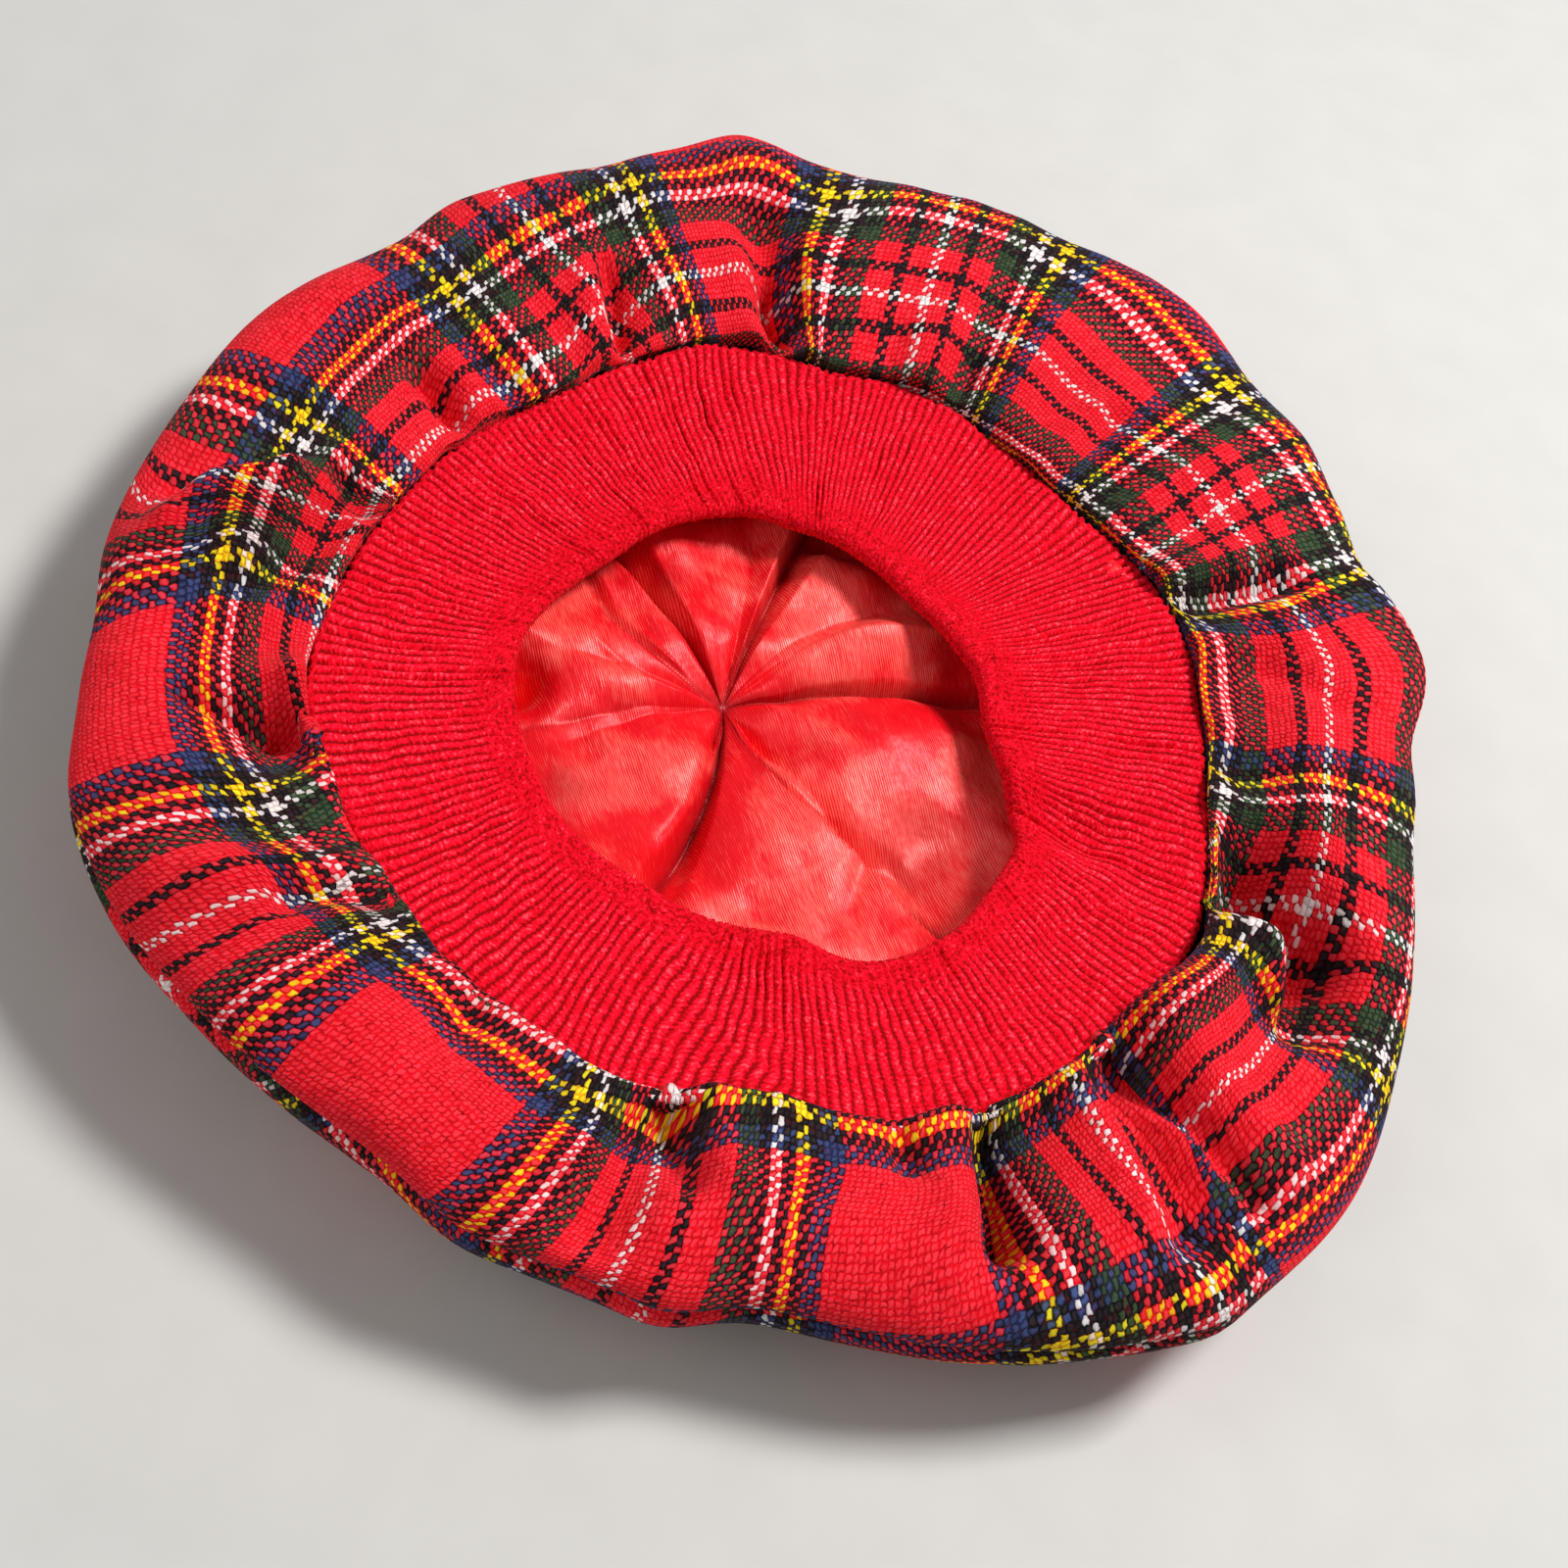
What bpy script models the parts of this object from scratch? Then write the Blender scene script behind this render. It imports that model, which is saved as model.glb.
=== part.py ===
"""Tam o'shanter, lying with its underside up.

Four sewn pieces: a round top disc that lies on the floor, an underside ring that is seamed to it
at the rim, a ribbed knitted band round the head opening, and a satin lining below the band.
Metres, +Z up. The origin is on the floor, under the middle of the hat.
"""

import math
from collections import namedtuple

import bpy

# ---------------------------------------------------------------- driving dimensions, in metres

CLOTH = 0.0022          # thickness of the woven cloth
SATIN = 0.0012          # thickness of the lining
KNIT = 0.0050           # thickness of the doubled knitted band
GAP = 0.0003            # air between two sewn pieces

FLOOR_SHARE = 0.66      # share of the rim's radius where the top disc lies flat
DISC_POLE = (0.006, 0.004)      # where the top disc's sections meet
CREST_SHARE = 0.58      # how far out from the band to the rim the ring is highest
RISE_SLOPE = 0.75       # slope of the ring where it leaves the band
RIM_FADE = 0.80         # reach past which the folds die out towards the rim
HEM = 0.0025            # upright edge of the ring and of the top disc where they meet at the rim

GATHERS = 30            # small gathers round the ring's inner edge
GATHER_LIFT = 0.0030    # how high they puff
GATHER_REACH = 0.14     # share of the way out where they puff most

GROOVES = 50            # grooves round the band, one to four of its fine ribs
GROOVE_DEPTH = 0.0009
GROOVE_COLUMNS = 4      # mesh columns from one groove to the next
BAND_DIP = 0.0016       # how far the band sags between its seam and its free edge
BAND_TOP_SHARES = (0.0, 0.34, 0.68, 0.93)      # section points of its top, from seam to mouth
BAND_UNDER_SHARES = (0.93, 0.68, 0.0)       # section points of its underside, from mouth to seam

LINING_INSET = 0.0040   # how far inside the band's seam the lining is sewn
LINING_PINCH = (-0.0137, 0.0011)        # where the lining is pinched together
LINING_PINCH_TOP = 0.0048
LINING_PUFF_TOP = 0.0130        # height of the lining's upper face where it puffs up
LINING_PUFF_SHARE = 0.30        # share of the way out where it has risen from the pinch
LINING_BEND = 0.60      # share of the way out where the lining turns up to its seam
LINING_END_SLOPE = 1.6  # how steeply it meets its seam, against a straight rise
CREASE_START = 0.012    # distance from the pinch over which the lining's creases deepen
CREASE_FADE = 0.7       # share of a crease's reach where it starts to fade
LINING_LOWEST = CLOTH + SATIN + 1.4 * GAP       # its upper face keeps clear of the top disc

RING_COLUMNS = 108
RING_ROWS = 9
DISC_COLUMNS = 60
DISC_FLAT_ROWS = 2
DISC_WALL_ROWS = 5
LINING_COLUMNS = 64
LINING_ROWS = 7

FULL_TURN = 360.0

# The rim, where the ring is seamed to the top disc: plan radius and height of the seam, and the
# height of the ring's crest just inside it. One row each 15 degrees, from +X towards +Y.
Rim = namedtuple("Rim", "radius height crest")
RIM = (
    Rim(0.132, 0.026, 0.038),
    Rim(0.128, 0.025, 0.038),
    Rim(0.139, 0.025, 0.039),
    Rim(0.138, 0.026, 0.040),
    Rim(0.142, 0.027, 0.041),
    Rim(0.149, 0.028, 0.042),
    Rim(0.146, 0.028, 0.042),
    Rim(0.143, 0.027, 0.041),
    Rim(0.145, 0.027, 0.041),
    Rim(0.140, 0.027, 0.040),
    Rim(0.135, 0.026, 0.039),
    Rim(0.138, 0.027, 0.039),
    Rim(0.137, 0.028, 0.039),
    Rim(0.139, 0.028, 0.040),
    Rim(0.141, 0.029, 0.041),
    Rim(0.145, 0.030, 0.042),
    Rim(0.141, 0.031, 0.042),
    Rim(0.137, 0.030, 0.041),
    Rim(0.138, 0.028, 0.040),
    Rim(0.135, 0.027, 0.039),
    Rim(0.142, 0.027, 0.040),
    Rim(0.149, 0.028, 0.041),
    Rim(0.148, 0.028, 0.041),
    Rim(0.139, 0.027, 0.039),
)

# Corners and hollows of the rim between those rows: the angle, the half width in degrees and how
# far the rim stands out there.
Bulge = namedtuple("Bulge", "angle half_width push")
RIM_BULGES = (
    Bulge(25, 5, 0.0025),
    Bulge(38, 5, -0.004),
    Bulge(53, 5, 0.003),
    Bulge(68, 5, 0.002),
    Bulge(83, 5, -0.003),
    Bulge(112, 5, 0.003),
    Bulge(128, 5, -0.002),
    Bulge(144, 5, 0.003),
    Bulge(203, 5, -0.0015),
    Bulge(218, 5, 0.0015),
    Bulge(262, 5, 0.002),
    Bulge(278, 4, 0.003),
)

# The band: plan radius and height of its seam with the ring, and of its free edge round the
# mouth. One row each 15 degrees, from +X towards +Y.
Band = namedtuple("Band", "seam seam_height mouth mouth_height")
BAND = (
    Band(0.088, 0.029, 0.044, 0.025),
    Band(0.085, 0.029, 0.039, 0.025),
    Band(0.086, 0.029, 0.038, 0.026),
    Band(0.085, 0.029, 0.036, 0.026),
    Band(0.081, 0.029, 0.035, 0.026),
    Band(0.082, 0.029, 0.036, 0.026),
    Band(0.085, 0.030, 0.038, 0.026),
    Band(0.083, 0.030, 0.040, 0.026),
    Band(0.088, 0.030, 0.044, 0.026),
    Band(0.086, 0.030, 0.046, 0.026),
    Band(0.084, 0.030, 0.047, 0.026),
    Band(0.087, 0.030, 0.048, 0.026),
    Band(0.090, 0.030, 0.052, 0.026),
    Band(0.095, 0.030, 0.057, 0.026),
    Band(0.100, 0.031, 0.059, 0.027),
    Band(0.100, 0.031, 0.060, 0.027),
    Band(0.101, 0.031, 0.061, 0.027),
    Band(0.102, 0.031, 0.060, 0.027),
    Band(0.102, 0.031, 0.060, 0.027),
    Band(0.097, 0.031, 0.059, 0.027),
    Band(0.101, 0.031, 0.064, 0.027),
    Band(0.098, 0.031, 0.062, 0.027),
    Band(0.095, 0.030, 0.057, 0.026),
    Band(0.094, 0.029, 0.053, 0.025),
)

# Folds of the ring. Each runs straight in plan from one place to another, given as an angle and a
# radius. Lift is its height, negative for a valley, and lean is how far its top is pushed
# sideways, towards larger angles.
Fold = namedtuple("Fold", "from_angle from_radius to_angle to_radius half_width lift lean")
RING_FOLDS = {
    "right_hollow": Fold(353, 0.099, 344, 0.117, 0.011, -0.017, 0.0),
    "right_curl": Fold(333, 0.101, 344, 0.102, 0.009, 0.008, 0.005),
    "right_trough": Fold(2, 0.097, 26, 0.096, 0.008, -0.005, 0.0),
    "far_right_dimple": Fold(36, 0.090, 37, 0.104, 0.006, -0.004, 0.0),
    "top_gather": Fold(112, 0.088, 114, 0.116, 0.006, -0.011, 0.0),
    "top_small_gather": Fold(136, 0.087, 133, 0.102, 0.005, -0.005, 0.0),
    "top_left_gather": Fold(165, 0.088, 163, 0.102, 0.005, -0.005, 0.0),
    "left_ridge_outer": Fold(199, 0.134, 193, 0.119, 0.008, 0.004, 0.0),
    "left_ridge_inner": Fold(193, 0.119, 182, 0.103, 0.006, 0.006, 0.0),
    "left_crease": Fold(187, 0.097, 199, 0.112, 0.005, -0.006, 0.0),
    "left_hollow": Fold(209, 0.114, 217, 0.107, 0.010, -0.010, 0.0),
    "near_left_ridge": Fold(229, 0.136, 238, 0.114, 0.008, 0.004, 0.0),
    "near_left_pinch": Fold(253, 0.104, 254, 0.114, 0.006, -0.005, 0.0),
    "near_tuck": Fold(274, 0.103, 271, 0.128, 0.007, -0.008, 0.0),
    "near_notch": Fold(296, 0.102, 297, 0.110, 0.005, -0.004, 0.0),
    "near_gather": Fold(308, 0.102, 304, 0.125, 0.007, -0.010, 0.0),
    "corner_valley": Fold(322, 0.100, 318, 0.134, 0.006, -0.010, 0.0),
}

# Creases of the lining, each from the pinch outwards: its direction and how far it reaches.
Crease = namedtuple("Crease", "angle reach half_angle depth")
LINING_CREASES = {
    "right": Crease(28, 0.070, 9, 0.0060),
    "far_right": Crease(57, 0.060, 7, 0.0040),
    "far": Crease(101, 0.055, 8, 0.0060),
    "far_left": Crease(144, 0.055, 7, 0.0060),
    "left": Crease(195, 0.050, 8, 0.0050),
    "near_left": Crease(226, 0.045, 7, 0.0030),
    "near": Crease(277, 0.060, 8, 0.0075),
    "near_right": Crease(328, 0.075, 8, 0.0075),
}


# ---------------------------------------------------------------- small helpers


def around(table, angle):
    """A table's row at an angle in degrees, by a smooth curve through its even rows."""
    place = (angle % FULL_TURN) / FULL_TURN * len(table)
    index = int(place)
    part = place - index
    before, here, after, beyond = (table[(index + k) % len(table)] for k in (-1, 0, 1, 2))
    return type(here)(*(spline(*values, part) for values in zip(before, here, after, beyond)))


def spline(before, here, after, beyond, part):
    """The value a part of the way from here to after, on a curve through all four."""
    bend = 2 * before - 5 * here + 4 * after - beyond
    twist = 3 * (here - after) + beyond - before
    return here + 0.5 * part * (after - before + part * (bend + part * twist))


def smooth(value, low, high):
    """0 below low and 1 above high, with an S curve between."""
    part = min(max((value - low) / (high - low), 0.0), 1.0)
    return part * part * (3 - 2 * part)


def polar(angle, radius, centre=(0.0, 0.0)):
    """Plan point at an angle in degrees and a radius from a centre."""
    turn = math.radians(angle)
    return centre[0] + radius * math.cos(turn), centre[1] + radius * math.sin(turn)


def hermite(start, end, start_slope, end_slope, part):
    """Height a part of the way along a run of length 1, from its end heights and slopes."""
    square, cube = part * part, part * part * part
    return (
        start * (2 * cube - 3 * square + 1)
        + start_slope * (cube - 2 * square + part)
        + end * (3 * square - 2 * cube)
        + end_slope * (cube - square)
    )


def distance_along(point, start, end):
    """Distance of a plan point from a straight stretch, and the stretch's unit direction."""
    run = (end[0] - start[0], end[1] - start[1])
    length = math.hypot(*run)
    unit = (run[0] / length, run[1] / length)
    offset = (point[0] - start[0], point[1] - start[1])
    along = min(max(offset[0] * unit[0] + offset[1] * unit[1], 0.0), length)
    nearest = (start[0] + along * unit[0], start[1] + along * unit[1])
    return math.dist(point, nearest), unit


# ---------------------------------------------------------------- the shapes


def fold_shift(x, y):
    """Lift and sideways push that the ring's folds give a plan point."""
    lift, push_x, push_y = 0.0, 0.0, 0.0
    for fold in RING_FOLDS.values():
        start = polar(fold.from_angle, fold.from_radius)
        end = polar(fold.to_angle, fold.to_radius)
        distance, unit = distance_along((x, y), start, end)
        strength = math.exp(-((distance / fold.half_width) ** 2))
        lift += fold.lift * strength
        push_x += fold.lean * strength * unit[0]
        push_y += fold.lean * strength * unit[1]
    return lift, push_x, push_y


def rim_radius(angle):
    """The rim's plan radius at an angle, with its corners."""
    radius = around(RIM, angle).radius
    for bulge in RIM_BULGES:
        turn = (angle - bulge.angle + 180) % FULL_TURN - 180
        radius += bulge.push * math.exp(-((turn / bulge.half_width) ** 2))
    return radius


def ring_point(angle, reach):
    """Point on the ring's outer face: reach 0 is its seam with the band, reach 1 the rim seam."""
    rim = around(RIM, angle)
    edge = rim_radius(angle)
    band = around(BAND, angle)
    seam = band.seam + GAP / 2
    crest = seam + CREST_SHARE * (edge - seam)
    rim_height = rim.height + GAP / 2 + HEM
    if reach < CREST_SHARE:
        part = reach / CREST_SHARE
        radius = seam + part * (crest - seam)
        height = hermite(band.seam_height, rim.crest, RISE_SLOPE * (crest - seam), 0.0, part)
    else:
        turn = (reach - CREST_SHARE) / (1 - CREST_SHARE) * math.pi / 2
        radius = crest + (edge - crest) * math.sin(turn)
        height = rim_height + (rim.crest - rim_height) * math.cos(turn)
    x, y = polar(angle, radius)
    fade = 1 - smooth(reach, RIM_FADE, 1.0)
    lift, push_x, push_y = fold_shift(x, y)
    wave = 0.5 - 0.5 * math.cos(math.radians(GATHERS * angle))
    lift += GATHER_LIFT * wave * reach / GATHER_REACH * math.exp(1 - reach / GATHER_REACH)
    return x + fade * push_x, y + fade * push_y, height + fade * lift


def ring_section(angle):
    """The ring's outer face at an angle, from the band to the upright hem at the rim."""
    section = [ring_point(angle, row / RING_ROWS) for row in range(RING_ROWS + 1)]
    return section + [raised(section[-1], -HEM)]


def raised(point, height):
    """The point, that much higher."""
    return point[0], point[1], point[2] + height


def disc_point(angle, share):
    """Point on the top disc's outer face: share 0 is its middle, share 1 the rim seam."""
    edge = rim_radius(angle)
    rim_height = around(RIM, angle).height - GAP / 2 - HEM
    if share <= FLOOR_SHARE:
        x, y = polar(angle, edge * share)
        still = 1 - share / FLOOR_SHARE
        return x + DISC_POLE[0] * still, y + DISC_POLE[1] * still, 0.0
    turn = (share - FLOOR_SHARE) / (1 - FLOOR_SHARE) * math.pi / 2
    radius = edge * (FLOOR_SHARE + (1 - FLOOR_SHARE) * math.sin(turn))
    height = rim_height * (1 - math.cos(turn))
    return *polar(angle, radius), height


def disc_section(angle):
    """The top disc's outer face at an angle, from near its middle to the upright hem."""
    flat = [FLOOR_SHARE * (row + 1) / DISC_FLAT_ROWS for row in range(DISC_FLAT_ROWS)]
    turn_up = 1 - FLOOR_SHARE
    wall_rows = [FLOOR_SHARE + turn_up * (row + 1) / DISC_WALL_ROWS for row in range(DISC_WALL_ROWS)]
    section = [disc_point(angle, share) for share in flat + wall_rows]
    return section + [raised(section[-1], HEM)]


def band_top(band, share):
    """Height of the band's top face, a share of the way from its seam to the mouth."""
    straight = band.seam_height + share * (band.mouth_height - band.seam_height)
    return straight - BAND_DIP * math.sin(math.pi * share)


def band_section(angle):
    """The band's closed section at an angle: its top face, rolled free edge and underside."""
    band = around(BAND, angle)
    seam = band.seam - GAP / 2
    width = seam - band.mouth
    groove = GROOVE_DEPTH * max(math.cos(math.radians(GROOVES * angle)), 0.0)
    section = [(seam - share * width, band_top(band, share) - groove) for share in BAND_TOP_SHARES]
    section.append((band.mouth + groove, band.mouth_height - 0.5 * KNIT))
    section += [(seam - share * width, band_top(band, share) - KNIT) for share in BAND_UNDER_SHARES]
    return [(*polar(angle, radius), height) for radius, height in section]


def lining_point(angle, share):
    """Point on the lining's upper face: share 0 is the pinch, share 1 its seam below the band."""
    band = around(BAND, angle)
    edge = polar(angle, band.seam - LINING_INSET)
    edge_height = band_top(band, LINING_INSET / (band.seam - band.mouth)) - KNIT - GAP
    x = LINING_PINCH[0] + share * (edge[0] - LINING_PINCH[0])
    y = LINING_PINCH[1] + share * (edge[1] - LINING_PINCH[1])
    if share < LINING_BEND:
        puff = math.sin(math.pi / 2 * min(share / LINING_PUFF_SHARE, 1.0))
        height = LINING_PINCH_TOP + puff * (LINING_PUFF_TOP - LINING_PINCH_TOP)
    else:
        part = (share - LINING_BEND) / (1 - LINING_BEND)
        end_slope = LINING_END_SLOPE * (edge_height - LINING_PUFF_TOP)
        height = hermite(LINING_PUFF_TOP, edge_height, 0.0, end_slope, part)
    return x, y, max(height - crease_depth(x, y), LINING_LOWEST)


def crease_depth(x, y):
    """How far the lining's creases sink a plan point."""
    out_x, out_y = x - LINING_PINCH[0], y - LINING_PINCH[1]
    distance = math.hypot(out_x, out_y)
    direction = math.degrees(math.atan2(out_y, out_x))
    depth = 0.0
    for crease in LINING_CREASES.values():
        turn = (direction - crease.angle + 180) % FULL_TURN - 180
        fade = smooth(distance, CREASE_FADE * crease.reach, crease.reach)
        along = smooth(distance, 0.0, CREASE_START) * (1 - fade)
        depth += crease.depth * along * math.exp(-((turn / crease.half_angle) ** 2))
    return depth


# ---------------------------------------------------------------- meshes and materials


def loft(name, sections, closed_section=False, pole=None):
    """A mesh through sections of equal length, joined round; a pole closes the first points."""
    length = len(sections[0])
    points = [point for section in sections for point in section]
    faces = []
    for index in range(len(sections)):
        start = index * length
        other = (index + 1) % len(sections) * length
        for k in range(length if closed_section else length - 1):
            after = (k + 1) % length
            faces.append((start + k, start + after, other + after, other + k))
        if pole:
            faces.append((start, other, len(points)))
    if pole:
        points.append(pole)
    mesh = bpy.data.meshes.new(name)
    mesh.from_pydata(points, [], faces)
    mesh.shade_smooth()
    return bpy.data.objects.new(name, mesh)


def wall(piece, thickness):
    """Gives an open surface its wall, on the side away from its faces."""
    solidify = piece.modifiers.new("wall", "SOLIDIFY")
    solidify.thickness = thickness
    solidify.offset = -1.0
    solidify.use_even_offset = False


def angles(columns):
    """The angles of so many columns round the hat, in degrees."""
    return [FULL_TURN * column / columns for column in range(columns)]


def finish(name, color, roughness):
    """A plain material of one colour, as red, green and blue."""
    material = bpy.data.materials.new(name)
    material.use_nodes = True
    shader = material.node_tree.nodes["Principled BSDF"]
    shader.inputs["Base Color"].default_value = (*color, 1.0)
    shader.inputs["Roughness"].default_value = roughness
    material.diffuse_color = (*color, 1.0)
    return material


def make_crown_top():
    """The top disc: flat where it lies on the floor, turned up to the rim."""
    sections = [disc_section(angle) for angle in reversed(angles(DISC_COLUMNS))]
    piece = loft("crown_top", sections, pole=(*DISC_POLE, 0.0))
    wall(piece, CLOTH)
    piece.data.materials.append(finish("tartan_top", (0.45, 0.02, 0.03), 0.9))
    return piece


def make_crown_side():
    """The underside ring, gathered at the band and folded where the real one is."""
    piece = loft("crown_side", [ring_section(angle) for angle in angles(RING_COLUMNS)])
    wall(piece, CLOTH)
    piece.data.materials.append(finish("tartan_side", (0.55, 0.02, 0.03), 0.9))
    return piece


def make_knit_band():
    """The ribbed band, as one padded ring."""
    sections = [band_section(angle) for angle in reversed(angles(GROOVES * GROOVE_COLUMNS))]
    piece = loft("knit_band", sections, closed_section=True)
    piece.data.materials.append(finish("red_knit", (0.50, 0.01, 0.02), 0.95))
    return piece


def make_lining():
    """The satin lining, a shallow bowl creased from its pinched middle."""
    rows = [(row + 1) / LINING_ROWS for row in range(LINING_ROWS)]
    sections = [[lining_point(angle, row) for row in rows] for angle in angles(LINING_COLUMNS)]
    piece = loft("lining", sections, pole=(*LINING_PINCH, LINING_PINCH_TOP))
    wall(piece, SATIN)
    piece.data.materials.append(finish("red_satin", (0.65, 0.05, 0.05), 0.35))
    return piece


def main():
    for old in list(bpy.data.objects):
        bpy.data.objects.remove(old)
    hat = bpy.data.collections.new("tam_o_shanter")
    bpy.context.scene.collection.children.link(hat)
    for make in (make_crown_top, make_crown_side, make_knit_band, make_lining):
        hat.objects.link(make())


main()
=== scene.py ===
"""Dresses the tam o'shanter as it lies in the photograph, with its underside up.

A tartan ring is gathered into a ribbed knitted band, a tartan top disc lies below it on the floor,
and a satin lining shows through the head opening. Metres, +Z up, in the frame of the CAD model.
The sizes and tables of the forms repeat those of the CAD source. Angles are degrees from +X
towards +Y. A place across the ring is its reach, 0 at the band's seam and 1 at the rim's.
"""

import logging
import math
from dataclasses import dataclass, field
from enum import Enum
from typing import Any, NamedTuple, Sequence

import bpy
import numpy as np
from mathutils import Matrix, Vector


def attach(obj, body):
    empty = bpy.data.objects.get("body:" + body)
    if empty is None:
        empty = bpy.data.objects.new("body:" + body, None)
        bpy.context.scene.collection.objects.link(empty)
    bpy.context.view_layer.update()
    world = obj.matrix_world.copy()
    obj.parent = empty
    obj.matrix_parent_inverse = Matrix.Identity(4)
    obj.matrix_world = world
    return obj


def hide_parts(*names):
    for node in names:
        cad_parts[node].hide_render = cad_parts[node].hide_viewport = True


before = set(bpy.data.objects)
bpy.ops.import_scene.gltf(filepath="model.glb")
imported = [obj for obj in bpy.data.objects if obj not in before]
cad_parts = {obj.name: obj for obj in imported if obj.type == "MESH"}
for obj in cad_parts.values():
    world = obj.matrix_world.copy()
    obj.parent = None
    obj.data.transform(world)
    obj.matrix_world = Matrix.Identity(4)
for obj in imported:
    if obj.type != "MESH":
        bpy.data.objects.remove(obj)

LOG = logging.getLogger("tam")
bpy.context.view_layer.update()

FULL_TURN = 360.0
GAP = 0.0003            # air between two sewn pieces
DOUBLES = 2e-6          # points nearer than this are one

# ---------------------------------------------------------------- the forms, as in the CAD source


class Rim(NamedTuple):
    """The rim's seam: plan radius and height, and the height of the crest just inside it."""

    radius: float
    height: float
    crest: float


class Band(NamedTuple):
    """The band: plan radius and height of its seam, and of its free edge round the mouth."""

    seam: float
    seam_height: float
    mouth: float
    mouth_height: float


class Bulge(NamedTuple):
    """A corner or hollow of the rim: its angle, half width in degrees and push outwards."""

    angle: float
    half_width: float
    push: float


class Fold(NamedTuple):
    """A fold that runs straight in plan: its ends, half width, lift and sideways lean."""

    from_angle: float
    from_radius: float
    to_angle: float
    to_radius: float
    half_width: float
    lift: float
    lean: float


class Crease(NamedTuple):
    """A crease of the lining from its pinch: direction, reach, half width in degrees, depth."""

    angle: float
    reach: float
    half_angle: float
    depth: float


# One row each 15 degrees, from +X towards +Y.
RIM = (
    Rim(0.132, 0.026, 0.038),
    Rim(0.128, 0.025, 0.038),
    Rim(0.139, 0.025, 0.039),
    Rim(0.138, 0.026, 0.040),
    Rim(0.142, 0.027, 0.041),
    Rim(0.149, 0.028, 0.042),
    Rim(0.146, 0.028, 0.042),
    Rim(0.143, 0.027, 0.041),
    Rim(0.145, 0.027, 0.041),
    Rim(0.140, 0.027, 0.040),
    Rim(0.135, 0.026, 0.039),
    Rim(0.138, 0.027, 0.039),
    Rim(0.137, 0.028, 0.039),
    Rim(0.139, 0.028, 0.040),
    Rim(0.141, 0.029, 0.041),
    Rim(0.145, 0.030, 0.042),
    Rim(0.141, 0.031, 0.042),
    Rim(0.137, 0.030, 0.041),
    Rim(0.138, 0.028, 0.040),
    Rim(0.135, 0.027, 0.039),
    Rim(0.142, 0.027, 0.040),
    Rim(0.149, 0.028, 0.041),
    Rim(0.148, 0.028, 0.041),
    Rim(0.139, 0.027, 0.039),
)

RIM_BULGES = (
    Bulge(25, 5, 0.0025),
    Bulge(38, 5, -0.004),
    Bulge(53, 5, 0.003),
    Bulge(68, 5, 0.002),
    Bulge(83, 5, -0.003),
    Bulge(112, 5, 0.003),
    Bulge(128, 5, -0.002),
    Bulge(144, 5, 0.003),
    Bulge(203, 5, -0.0015),
    Bulge(218, 5, 0.0015),
    Bulge(262, 5, 0.002),
    Bulge(278, 4, 0.003),
)

# One row each 15 degrees, from +X towards +Y.
BAND = (
    Band(0.088, 0.029, 0.044, 0.025),
    Band(0.085, 0.029, 0.039, 0.025),
    Band(0.086, 0.029, 0.038, 0.026),
    Band(0.085, 0.029, 0.036, 0.026),
    Band(0.081, 0.029, 0.035, 0.026),
    Band(0.082, 0.029, 0.036, 0.026),
    Band(0.085, 0.030, 0.038, 0.026),
    Band(0.083, 0.030, 0.040, 0.026),
    Band(0.088, 0.030, 0.044, 0.026),
    Band(0.086, 0.030, 0.046, 0.026),
    Band(0.084, 0.030, 0.047, 0.026),
    Band(0.087, 0.030, 0.048, 0.026),
    Band(0.090, 0.030, 0.052, 0.026),
    Band(0.095, 0.030, 0.057, 0.026),
    Band(0.100, 0.031, 0.059, 0.027),
    Band(0.100, 0.031, 0.060, 0.027),
    Band(0.101, 0.031, 0.061, 0.027),
    Band(0.102, 0.031, 0.060, 0.027),
    Band(0.102, 0.031, 0.060, 0.027),
    Band(0.097, 0.031, 0.059, 0.027),
    Band(0.101, 0.031, 0.064, 0.027),
    Band(0.098, 0.031, 0.062, 0.027),
    Band(0.095, 0.030, 0.057, 0.026),
    Band(0.094, 0.029, 0.053, 0.025),
)

MAIN_FOLDS = {
    "right_hollow": Fold(353, 0.099, 344, 0.117, 0.011, -0.017, 0.0),
    "right_curl": Fold(333, 0.101, 344, 0.102, 0.009, 0.008, 0.005),
    "right_trough": Fold(2, 0.097, 26, 0.096, 0.008, -0.005, 0.0),
    "far_right_dimple": Fold(36, 0.090, 37, 0.104, 0.006, -0.004, 0.0),
    "top_gather": Fold(112, 0.088, 114, 0.116, 0.006, -0.011, 0.0),
    "top_small_gather": Fold(136, 0.087, 133, 0.102, 0.005, -0.005, 0.0),
    "top_left_gather": Fold(165, 0.088, 163, 0.102, 0.005, -0.005, 0.0),
    "left_ridge_outer": Fold(199, 0.134, 193, 0.119, 0.008, 0.004, 0.0),
    "left_ridge_inner": Fold(193, 0.119, 182, 0.103, 0.006, 0.006, 0.0),
    "left_crease": Fold(187, 0.097, 199, 0.112, 0.005, -0.006, 0.0),
    "left_hollow": Fold(209, 0.114, 217, 0.107, 0.010, -0.010, 0.0),
    "near_left_ridge": Fold(229, 0.136, 238, 0.114, 0.008, 0.004, 0.0),
    "near_left_pinch": Fold(253, 0.104, 254, 0.114, 0.006, -0.005, 0.0),
    "near_tuck": Fold(274, 0.103, 271, 0.128, 0.007, -0.008, 0.0),
    "near_notch": Fold(296, 0.102, 297, 0.110, 0.005, -0.004, 0.0),
    "near_gather": Fold(308, 0.102, 304, 0.125, 0.007, -0.010, 0.0),
    "corner_valley": Fold(322, 0.100, 318, 0.134, 0.006, -0.010, 0.0),
}

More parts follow.
